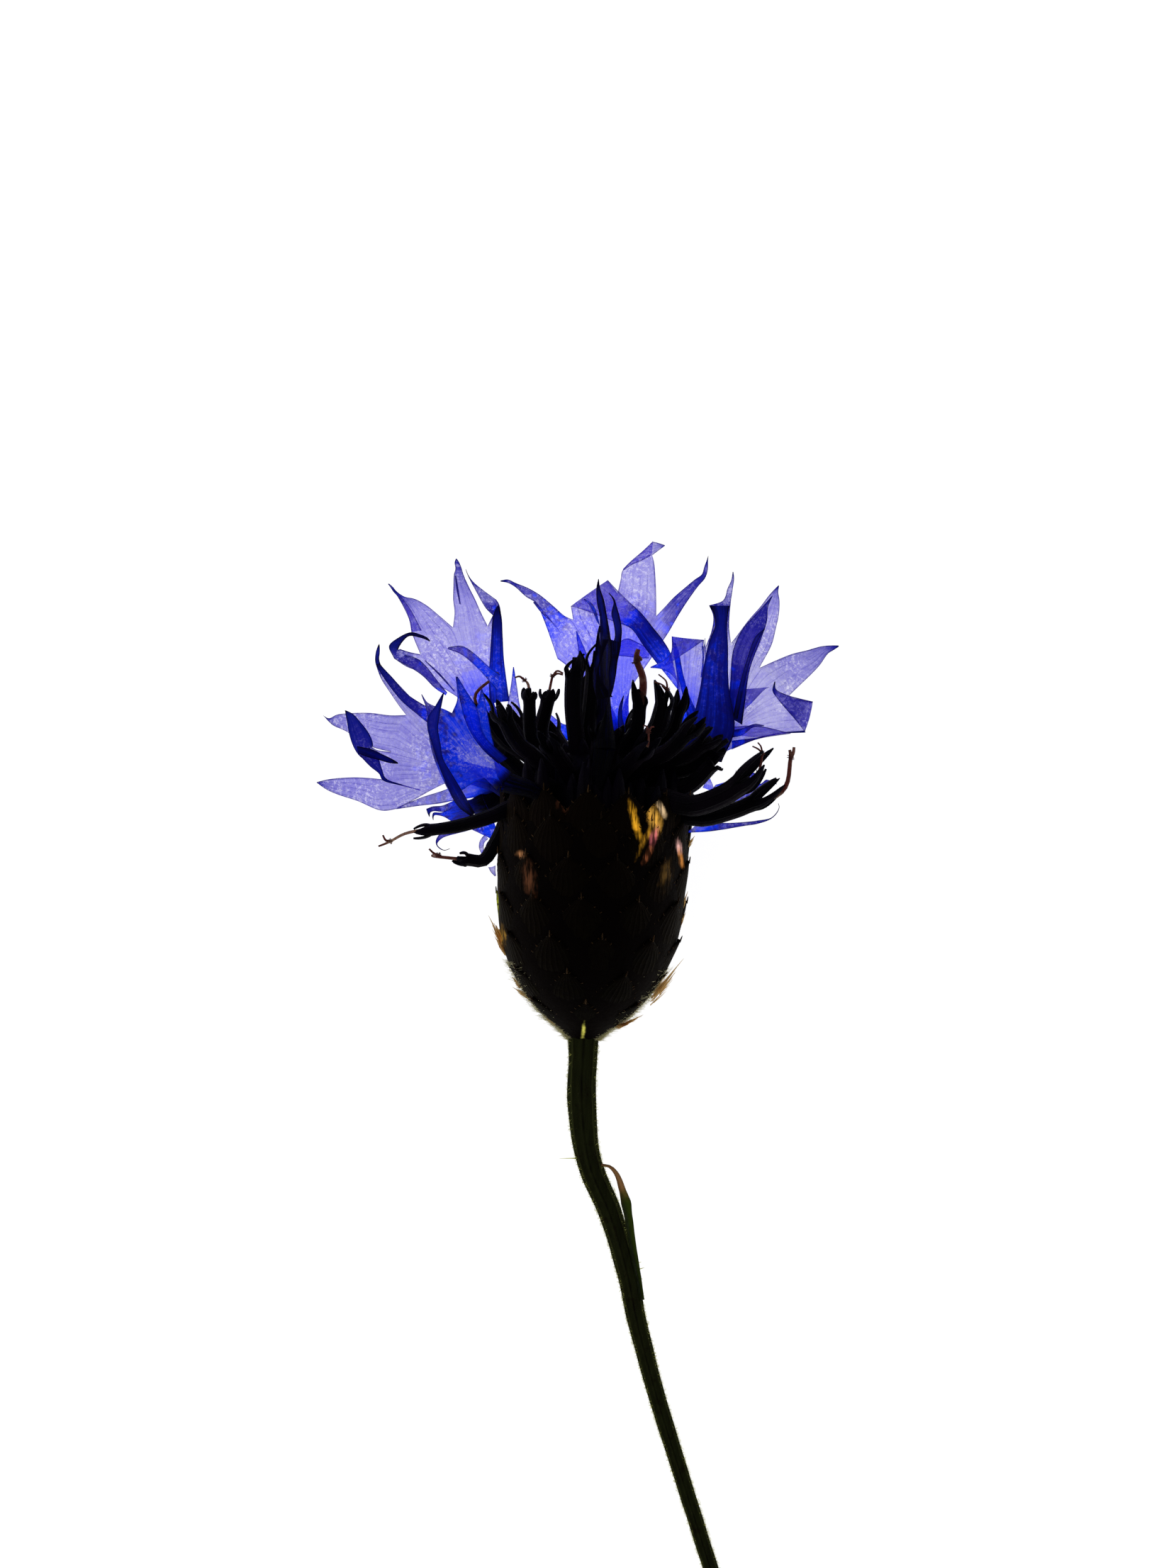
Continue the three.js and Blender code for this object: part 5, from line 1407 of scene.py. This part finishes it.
def bract_fringe(place, width, chance, reach, teeth):
    """The comb of bristles along a bract's upper margins, and its long tip bristle."""
    combs = []
    for side in (0.0, 1.0):
        for i in range(teeth):
            v = lerp(*FRINGE_SPAN, (i + chance.uniform(-0.3, 0.3)) / (teeth - 1))
            v = min(max(v, 0.3), 0.98)
            root, inner = place(side, v), place(0.5, v)
            ahead = (place(side, min(v + 0.02, 1.0)) - place(side, v - 0.02)).normalized()
            out = (root - inner).normalized() if width(v) > 0.1 else ahead
            length = reach * chance.uniform(0.5, 1.1)
            end = root + (out * 0.55 + ahead * 0.8) * length
            rise = (root - URN_MIDDLE).normalized() * 0.12 * length
            middle = root.lerp(end, 0.5) + rise * 0.4
            combs.append(strand(FRINGE_RADII, root - out * 0.12, middle, end + rise))
    tip = place(0.5, 1.0)
    ahead = (tip - place(0.5, 0.9)).normalized()
    combs.append(strand(END_BRISTLE_RADII, tip - ahead * 0.2, tip + ahead * 0.2, tip + ahead * reach))
    return combs


def claw_profile(c, hook):
    """(radius, height over the mouth) at c (0 to 1) along a claw, which flares and then hooks in."""
    mouth, length = DISC_TUBE["mouth"], CLAWS["length"]
    start = Vector((mouth, 0.0, 0.0))
    pull = Vector((mouth + 2.4 * CLAWS["flare"], CLAWS["belly"] * length, 0.0))
    end = Vector((mouth + CLAWS["flare"] - hook, length, 0.0))
    point = quadratic(start, pull, end, c)
    return point.x, point.y


def disc_tube(bm, course, floret, chance):
    """A tube that ends in hooked claws, all bent by its sweep."""
    count, split, steps = floret.get("count", CLAWS["count"]), DISC_TUBE["length"], DISC_TUBE["steps"]
    mouth, claws = floret.get("mouth", 1.0), floret.get("claws", 1.0)
    sweep = Vector(floret.get("sweep", (0.0, 0.0, 0.0)))
    frames = course.frames(steps)
    first = chance.uniform(0, 2 * math.pi)
    reaches = [claws * chance.uniform(0.65, 1.15) for _ in range(CLAWS["count"])]
    bends = [chance.uniform(-0.2, 0.2) for _ in range(CLAWS["count"])]
    hooks = [CLAWS["hook"] * chance.uniform(-0.7, 1.0) for _ in range(CLAWS["count"])]
    if "hook" in floret:
        hooks = [floret["hook"] * chance.uniform(0.5, 1.0) for _ in hooks]

    def place(claw, u, v):
        t = min(v / split, 1.0)
        c = max((v - split) / (1 - split), 0.0)
        centre, normal, binormal, ahead = frames[round(t * steps)]
        radius = lerp(DISC_TUBE["foot"], DISC_TUBE["mouth"] * mouth, t ** 1.6)
        half_turn, height = math.pi / count, 0.0
        if c > 0:
            radius, height = claw_profile(c, hooks[claw])
            radius *= mouth
            height *= reaches[claw]
            half_turn = min(half_turn, CLAWS["half_width"] * (1 - c) ** 0.6 / max(radius, 0.2) + 0.03)
        turn = first + (claw + 0.5) * 2 * math.pi / count + (2 * u - 1) * half_turn + bends[claw] * c
        out = normal * math.cos(turn) + binormal * math.sin(turn)
        return centre + out * radius + ahead * height + sweep * c * c

    for claw in range(count):
        sheet(bm, *CLAW_CELLS, lambda u, v, claw=claw: place(claw, u, v))


def build_disc_florets(look):
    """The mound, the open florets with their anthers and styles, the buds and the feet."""
    chance = random.Random(11)
    tubes, styles = new_mesh(), []
    solid = new_mesh()
    lathe(solid, MOUND, MOUND_STEPS)
    bmesh.ops.translate(solid, vec=(MOUND_CENTRE.x, 0, MOUND_CENTRE.z), verts=solid.verts)
    for face in solid.faces:
        face.material_index = 1
    for floret in DISC_FLORETS:
        points = [Vector(point) for point in floret["path"]]
        outward = (points[0] - MOUND_CENTRE).normalized()
        foot = MOUND_CENTRE + outward * (MOUND_RADIUS - DISC_TUBE["root"])
        course = Course([foot, *points])
        disc_tube(tubes, course, floret, chance)
        end, ahead = points[-1], course.heading(0.995)
        reach = chance.uniform(0.9, 1.5)
        top = end + ahead * ANTHERS["length"] * reach
        anthers = Course([end - ahead * ANTHERS["root"], end + ahead * ANTHERS["neck"], top])
        tube(solid, anthers, anther_radius, 3 * TUBE_RIBS, ANTHER_STEPS)
        if "style" in floret:
            styles += style_strands(end, ahead, floret, chance)
    bmesh.ops.remove_doubles(tubes, verts=tubes.verts, dist=1e-3)
    thickened(tubes, DISC_TUBE["wall"])
    for i in range(BUDS["count"]):
        lean = BUDS["spread"] * math.sqrt((i + 0.5) / BUDS["count"])
        out = leaning(lean, i * GOLDEN_TURN)
        root = MOUND_CENTRE + Vector((0, BUDS["low"], 0)) + out * BUDS["ring"]
        bud(solid, root, out, BUDS["length"] * chance.uniform(0.75, 1.1), BUDS["radius"])
    for i in range(FEET["count"]):
        turn = i * GOLDEN_TURN
        spread = lerp(FEET["inner"], FEET["outer"], (i % FEET_RINGS) / (FEET_RINGS - 1))
        out = leaning(FEET["lean"] * spread / FEET["outer"] * chance.uniform(0.6, 1.2), turn)
        foot = FLOOR_HEIGHT - FEET["sink"]
        root = HEAD_TURN @ Vector((spread * math.cos(turn), foot, spread * math.sin(turn)))
        bud(solid, root, out, FEET["length"] * chance.uniform(0.8, 1.15), FEET["radius"])
    bmesh.ops.recalc_face_normals(solid, faces=solid.faces)
    merged(solid, tubes)
    materials = [tube_material("disc_violet", look), mound_material("packed_feet", look)]
    piece_from(solid, "disc_florets", materials, "disc_floret", "disc_florets")
    strands("styles", styles, style_material("style_amber", look), "disc_floret", roundness=1)


def anther_radius(turn, t):
    """The radius of the ridged column of anthers in a floret's mouth."""
    ridges = ANTHERS["ridge"] * math.cos(TUBE_RIBS * turn)
    return ANTHERS["foot"] - ANTHERS["taper"] * t + ridges


def leaning(lean, turn):
    """The direction that leans away from +Y by lean, at a turn round it."""
    return Vector((math.sin(lean) * math.cos(turn), math.cos(lean), math.sin(lean) * math.sin(turn)))


def bud(bm, root, out, length, radius):
    """A closed floret, swollen in the middle and pointed."""
    course = Course([root, root + out * length * 0.6, root + out * length + Vector((0, 0.25, 0))])

    def girth(turn, t):
        swell = math.sin(math.pi * (0.2 + 0.79 * t)) ** 0.6
        return radius * swell * (1 + 0.06 * math.cos(TUBE_RIBS * turn))

    tube(bm, course, girth, *BUD_CELLS)


def style_strands(mouth, ahead, floret, chance):
    """A style from inside its tube, with its ring of brush hairs and its stigma arms."""
    top = Vector(floret["style"])
    radius = STYLE["radius"] * floret.get("thick", 1.0)
    root = mouth - ahead * STYLE["root"]
    knee = mouth + ahead * ((top - mouth).length * STYLE["knee"])
    course = Course([root, knee, top])
    lead = course.heading(0.98)
    made = [tapering(course, STYLE["steps"], radius * 1.15, radius * 0.8)]
    for points in floret["arms"]:
        arm = Course([top - lead * 0.15, *(top + Vector(point) for point in points)])
        made.append(tapering(arm, STYLE["arm_steps"], radius * 0.85, radius * 0.55))
    apart = lead.orthogonal().normalized()
    for i in range(STYLE["brush"]):
        turn = i * GOLDEN_TURN
        out = apart * math.cos(turn) + apart.cross(lead) * math.sin(turn)
        ring = top - lead * chance.uniform(0.0, 0.25)
        end = ring + out * (radius + 0.1) + lead * chance.uniform(0, 0.1)
        made.append(strand(BRUSH_RADII, ring, end))
    return made


def build_ray_floret(ray, material):
    """A sterile floret: its slender tube, the base that it opens into, its lobes and its folds."""
    bm = new_mesh()
    fan = Fan(ray)
    for part in range(len(ray["lobes"])):
        sheet(
            bm, LOBE_CELLS, BASE_ROWS, lambda u, v, part=part: fan.place(part, u, v),
            leaf=lambda u, v, part=part: (part + u, v),
            margin=lambda u, v, part=part: (fan.margin(part, u, v), along(fan.tones, v)),
        )
        shoulders = (fan.corners[part], fan.corners[part + 1], fan.tones[-1])
        runs = [[station(row) for row in run] for run in ray["lobes"][part]]
        blade(bm, fan, [[shoulders, *runs[0]], *runs[1:]], part, joined=True)
    shift, further = FOLD_SHIFT
    for index, fold in enumerate(ray["folds"]):
        blade(bm, fan, [[station(row) for row in fold]], shift + further * index)
    bmesh.ops.remove_doubles(bm, verts=bm.verts, dist=MERGED)

    ring = math.radians(ray["ring_angle"])
    foot = MOUND_CENTRE + Vector((RAY_RING * math.cos(ring), 0, RAY_RING * math.sin(ring)))
    foot.y = FLOOR_HEIGHT + RAY_FOOT
    course = Course([foot, foot + Vector((0, RAY_NECK, 0)), ray["bend"], ray["throat"]])
    tube(
        bm, course, lambda turn, t: along(RAY_TUBE_RADII, t), *RAY_TUBE_CELLS, caps=False,
        leaf=lambda u, v: (3 * u, v),
        margin=lambda u, v: (OPEN_TISSUE, lerp(1.0, fan.tones[0], v)),
    )
    piece_from(bm, ray["name"], [material], "ray_petal", ray["name"])


def station(row):
    """The two edge points and the tone of one station of a lobe or fold."""
    near_x, near_y, far_x, far_y, height, tone = row
    return Vector((near_x, near_y, height)), Vector((far_x, far_y, height)), tone


def blade(bm, fan, runs, shift, joined=False):
    """Tissue between two edges, smooth within a run of stations and creased between runs."""
    last = None
    cells = LOBE_CELLS if joined else FOLD_CELLS
    for run in runs:
        rows = [last, *run] if last else run
        last = rows[-1]
        nears, fars = Course([row[0] for row in rows]), Course([row[1] for row in rows])
        tones, spans = [row[2] for row in rows], len(rows) - 1

        def place(u, v, nears=nears, fars=fars, spans=spans, joined=joined):
            near, far = nears.span(v), fars.span(v)
            width = (far - near).length
            reach = min(v * spans, 1.0) if joined else 1.0
            return fan.settle(near.lerp(far, u), width, u, lerp(1.0, min(width, 1.0), reach))

        def margin(u, v, nears=nears, fars=fars, tones=tones):
            width = (fars.span(v) - nears.span(v)).length
            return width * min(u, 1 - u), along(tones, v)

        sheet(
            bm, cells, SPAN_ROWS * spans, place,
            leaf=lambda u, v: (shift + u, v), margin=margin,
        )
        joined = False


# ---------- Settings ----------

def colour(name, description, default):
    """A colour that the panel shows."""
    return bpy.props.FloatVectorProperty(
        name=name, description=description, default=default, subtype="COLOR", size=3, min=0, max=1,
    )


def share(name, description, default, most=1.0):
    """A strength, from none to most."""
    return bpy.props.FloatProperty(
        name=name, description=description, default=default, subtype="FACTOR", min=0, max=most,
    )


def amount(name, description, default, **limits):
    """A measure, with its limits and unit."""
    return bpy.props.FloatProperty(name=name, description=description, default=default, **limits)


def whole(name, description, default, **limits):
    """A count, with its limits."""
    return bpy.props.IntProperty(name=name, description=description, default=default, **limits)


class CornflowerPetals(bpy.types.PropertyGroup):
    """The tissue of the ray florets"""

    petal: colour("Petal", "Tissue of an open lobe", (0.1, 0.055, 0.58))
    violet: colour("Violet", "What the tissue drifts towards", (0.15, 0.07, 0.56))
    deep: colour("Deep", "Doubled and shaded tissue", (0.03, 0.022, 0.28))
    vivid: colour("Vivid", "Dense tissue near the disc", (0.008, 0.02, 0.5))
    # Painted shade: navy colours the veins and darkens folded and curled tissue as shade, and black is
    # the painted shade of the tubes and of tissue behind the disc
    navy: colour("Navy", "Folded and curled tissue", (0.006, 0.008, 0.16))
    black: colour("Black violet", "Tubes and tissue behind the disc", (0.003, 0.002, 0.012))
    margin: colour("Margin", "Thin dark edge of a lobe", (0.02, 0.006, 0.08))
    frost_colour: colour("Frost", "Cells that catch the light", (0.6, 0.55, 0.96))
    glow: colour("Glow", "Light through an open lobe", (0.045, 0.008, 0.69))
    near_glow: colour("Near glow", "Light through a lobe near the disc", (0.05, 0.025, 0.94))
    deep_glow: colour("Deep glow", "Light through doubled tissue", (0.03, 0.026, 0.4))
    # vivid_glow is also the colour of the painted glow that dense tissue near the disc emits
    vivid_glow: colour("Vivid glow", "Light through tissue near the disc", (0.004, 0.045, 1.0))
    navy_glow: colour("Navy glow", "Light through a fold", (0.006, 0.012, 0.26))
    see_through: share("See-through", "How clearly an open lobe shows what is behind it", 0.27)
    backlight: share("Backlight", "Light from behind beside light from the front", 0.8)
    frost: share("Frost", "Strength of the bright cells", 0.85)
    frost_grain: amount("Frost grain", "Bright cells in a millimetre", 4.6, min=0.1)
    veins: amount("Veins", "Veins across one lobe", 5.0, min=1)
    vein_wander: share("Vein wander", "How far veins stray from straight lines", 0.5)


class CornflowerDisc(bpy.types.PropertyGroup):
    """The dark florets of the middle and their styles"""

    # Painted shade: tube, warm tube and lobe are near black, the shade of florets seen against the light
    # below
    tube: colour("Tube", "Disc florets in shade", (0.002, 0.0015, 0.004))
    tube_warm: colour("Warm tube", "Disc florets where they are warmer", (0.006, 0.0025, 0.008))
    lobe: colour("Lobe", "Claws of the disc florets", (0.005, 0.003, 0.014))
    style: colour("Style", "Styles", (0.32, 0.11, 0.09))
    style_pale: colour("Pale style", "Pale stretches and pollen", (0.72, 0.55, 0.42))


class CornflowerInvolucre(bpy.types.PropertyGroup):
    """The bracts with their bristles, torn tips and felt"""

    # Painted shade: bract, olive, brown and margin are near black, the shade of bracts seen against the
    # light below, over their own green and brown
    bract: colour("Bract", "Bracts in shade", (0.004, 0.0028, 0.002))
    olive: colour("Olive", "Bracts' flanks", (0.008, 0.0065, 0.003))
    brown: colour("Brown", "Upper rows and tips", (0.011, 0.005, 0.003))
    margin: colour("Margin", "Dark papery margins", (0.004, 0.002, 0.002))
    fringe: colour("Fringe", "Comb along the margins", (0.02, 0.012, 0.006))
    fringe_light: colour("Fringe light", "Light through the comb", (0.3, 0.16, 0.06))
    tip: colour("Torn tip", "Dry tips that stand out", (0.24, 0.15, 0.07))
    tip_light: colour("Tip light", "Light through the dry tips", (1.0, 0.82, 0.52))
    felt_light: colour("Felt light", "Light through the felt", (1.0, 0.97, 0.74))
    rim: colour("Rim", "Soft shine along the outline", (0.6, 0.5, 0.16))
    rim_glow: share("Rim glow", "Strength of that shine", 0.03)
    # Strength of the painted glow that the thin places emit
    painted_window_glow: share("Window light", "Light through the thin places", 1.0, most=4.0)
    fringe_length: amount("Fringe length", "Bristles, in millimetres", 0.3, min=0.05)
    teeth: whole("Bristles", "On each side of a bract", 7, min=2, max=30)
    felt: whole("Felt", "Short hairs on the lower bracts", 2600, min=0)


class CornflowerStem(bpy.types.PropertyGroup):
    """The stem, its hairs and its leaf"""

    # Painted shade: stem, green, rib, fleck and leaf are dark, the shade of a stalk and leaf seen against
    # the light below
    stem: colour("Stem", "Stalk in shade", (0.011, 0.01, 0.006))
    green: colour("Green", "Fresh stretches of stalk and leaf", (0.026, 0.03, 0.01))
    rib: colour("Rib", "Raised ribs and pale edges", (0.05, 0.06, 0.02))
    fleck: colour("Fleck", "Brown flecks", (0.016, 0.01, 0.006))
    hair: colour("Hair", "Cobweb hairs", (0.2, 0.2, 0.12))
    pale_hair: colour("Pale hair", "Light through the hairs", (0.95, 0.96, 0.5))
    leaf: colour("Leaf", "Stem leaf at its foot", (0.03, 0.05, 0.012))
    dry: colour("Dry tip", "Stem leaf at its curled tip", (0.1, 0.035, 0.015))
    leaf_light: colour("Leaf light", "Light through the leaf", (0.2, 0.26, 0.05))
    dry_light: colour("Dry light", "Light through its dry tip", (0.7, 0.5, 0.3))
    rim: colour("Rim", "Soft shine along the outline", (0.6, 0.66, 0.1))
    rim_glow: share("Rim glow", "Strength of that shine", 0.1)
    rib_depth: share("Rib depth", "Ribs beside the stalk's radius", 0.05)
    hairs: whole("Hairs", "On the whole stalk", 20000, min=0)
    hair_length: amount("Hair length", "Beside the usual length", 1.0, min=0.1)


class CornflowerStage(bpy.types.PropertyGroup):
    """The pale surface, the light and the camera"""

    floor: colour("Surface", "The pale surface", (0.985, 0.985, 0.985))
    glow: share("Glow", "Light from below, beside white", 0.95, most=2.0)
    sky: share("Sky", "Soft light from all round", 0.1, most=4.0)
    key: amount("Key light", "Large soft light over the head", 0.2, min=0, unit="POWER")
    lens: amount("Lens", "Focal length", 180, min=20, unit="CAMERA")
    frame_height: amount("Frame height", "What the camera takes in", 0.1051, min=0.01, unit="LENGTH")
    frame_centre: bpy.props.FloatVectorProperty(
        name="Frame centre", description="From the foot of the head", size=3, unit="LENGTH",
        default=(0.31 * MM, 17.05 * MM, 5 * MM),
    )


# ---------- Operators and panel ----------

class CORNFLOWER_OT_stage(bpy.types.Operator):
    """Lays out the pale surface, the soft lights and the camera that looks down on the flower"""

    bl_idname = "cornflower.stage"
    bl_label = "Stage"

    def execute(self, context):
        look = context.scene.cornflower_stage
        scene = context.scene
        bm = bmesh.new()
        bmesh.ops.create_grid(bm, x_segments=8, y_segments=8, size=SURFACE_SIZE)
        mesh = bpy.data.meshes.new("surface")
        bm.to_mesh(mesh)
        bm.free()
        mesh.materials.append(surface_material("pale_surface", look))
        floor = bpy.data.objects.new("surface", mesh)
        floor.location.z = -SURFACE_DROP * MM
        scene.collection.objects.link(floor)

        world = bpy.data.worlds.new("soft_sky")
        world.use_nodes = True
        tree = world.node_tree
        sky = tree.nodes["Background"]
        path = tree.nodes.new("ShaderNodeLightPath")
        level = tree.nodes.new("ShaderNodeMapRange")
        level.inputs["To Min"].default_value = look.sky
        level.inputs["To Max"].default_value = 1.0
        tree.links.new(path.outputs["Is Camera Ray"], level.inputs["Value"])
        tree.links.new(level.outputs[0], sky.inputs["Strength"])
        sky.inputs["Color"].default_value = WHITE
        scene.world = world

        low, high = CAD_BOX
        middle = (low + high) / 2
        light = bpy.data.lights.new("key", "AREA")
        light.shape = "DISK"
        light.size = LAMP_SIZE
        light.energy = look.key
        lamp = bpy.data.objects.new("key", light)
        lamp.location = middle + LAMP_PLACE
        lamp.rotation_euler = (middle - lamp.location).to_track_quat("-Z", "Y").to_euler()
        scene.collection.objects.link(lamp)

        camera = bpy.data.cameras.new("camera")
        camera.lens = look.lens
        camera.clip_start, camera.clip_end = 0.01, 10.0
        seat = bpy.data.objects.new("camera", camera)
        aim = HEAD_FOOT * MM + Vector(look.frame_centre)
        seat.location = aim + Vector((0, 0, look.frame_height * look.lens / camera.sensor_width))
        scene.collection.objects.link(seat)
        scene.camera = seat
        scene.view_settings.view_transform = "Standard"
        return {"FINISHED"}


class CORNFLOWER_OT_stem(bpy.types.Operator):
    """Grows the ribbed stem with its cobweb hairs"""

    bl_idname = "cornflower.stem"
    bl_label = "Stem"

    def execute(self, context):
        look = context.scene.cornflower_stem
        course, radius = build_stem(look)
        build_stem_hairs(look, course, radius)
        return {"FINISHED"}


class CORNFLOWER_OT_stem_leaf(bpy.types.Operator):
    """Adds the small dry leaf under the head"""

    bl_idname = "cornflower.stem_leaf"
    bl_label = "Stem leaf"

    def execute(self, context):
        build_stem_leaf(context.scene.cornflower_stem)
        return {"FINISHED"}


class CORNFLOWER_OT_involucre(bpy.types.Operator):
    """Builds the urn with its overlapping bracts and their fringe"""

    bl_idname = "cornflower.involucre"
    bl_label = "Involucre"

    def execute(self, context):
        build_involucre(context.scene.cornflower_involucre)
        return {"FINISHED"}


class CORNFLOWER_OT_disc_florets(bpy.types.Operator):
    """Packs the dark disc florets into the mouth, with their styles"""

    bl_idname = "cornflower.disc_florets"
    bl_label = "Disc florets"

    def execute(self, context):
        build_disc_florets(context.scene.cornflower_disc)
        return {"FINISHED"}


class CORNFLOWER_OT_ray_florets(bpy.types.Operator):
    """Opens the nine blue-violet ray florets"""

    bl_idname = "cornflower.ray_florets"
    bl_label = "Ray florets"

    def execute(self, context):
        look = context.scene.cornflower_petals
        material = petal_material("petal", look)
        for ray in RAYS:
            build_ray_floret(ray, material)
        return {"FINISHED"}


PIECES = (
    CORNFLOWER_OT_stem,
    CORNFLOWER_OT_stem_leaf,
    CORNFLOWER_OT_involucre,
    CORNFLOWER_OT_disc_florets,
    CORNFLOWER_OT_ray_florets,
    CORNFLOWER_OT_stage,
)
SETTINGS = {
    "cornflower_petals": CornflowerPetals,
    "cornflower_disc": CornflowerDisc,
    "cornflower_involucre": CornflowerInvolucre,
    "cornflower_stem": CornflowerStem,
    "cornflower_stage": CornflowerStage,
}


class CORNFLOWER_PT_panel(bpy.types.Panel):
    """Lists the pieces of the flower and their settings"""

    bl_idname = "CORNFLOWER_PT_panel"
    bl_label = "Cornflower"
    bl_space_type = "VIEW_3D"
    bl_region_type = "UI"
    bl_category = "Cornflower"

    def draw(self, context):
        for operator in PIECES:
            self.layout.operator(operator.bl_idname)
        for name in SETTINGS:
            box = self.layout.box()
            settings = getattr(context.scene, name)
            for part in settings.bl_rna.properties:
                if part.identifier not in {"rna_type", "name"}:
                    box.prop(settings, part.identifier)


def register():
    for kind in (*SETTINGS.values(), *PIECES, CORNFLOWER_PT_panel):
        bpy.utils.register_class(kind)
    for name, kind in SETTINGS.items():
        setattr(bpy.types.Scene, name, bpy.props.PointerProperty(type=kind))


def unregister():
    for name in SETTINGS:
        delattr(bpy.types.Scene, name)
    for kind in reversed((*SETTINGS.values(), *PIECES, CORNFLOWER_PT_panel)):
        bpy.utils.unregister_class(kind)


def main():
    register()
    for operator in PIECES:
        group, name = operator.bl_idname.split(".")
        getattr(getattr(bpy.ops, group), name)()


if __name__ == "__main__":
    main()
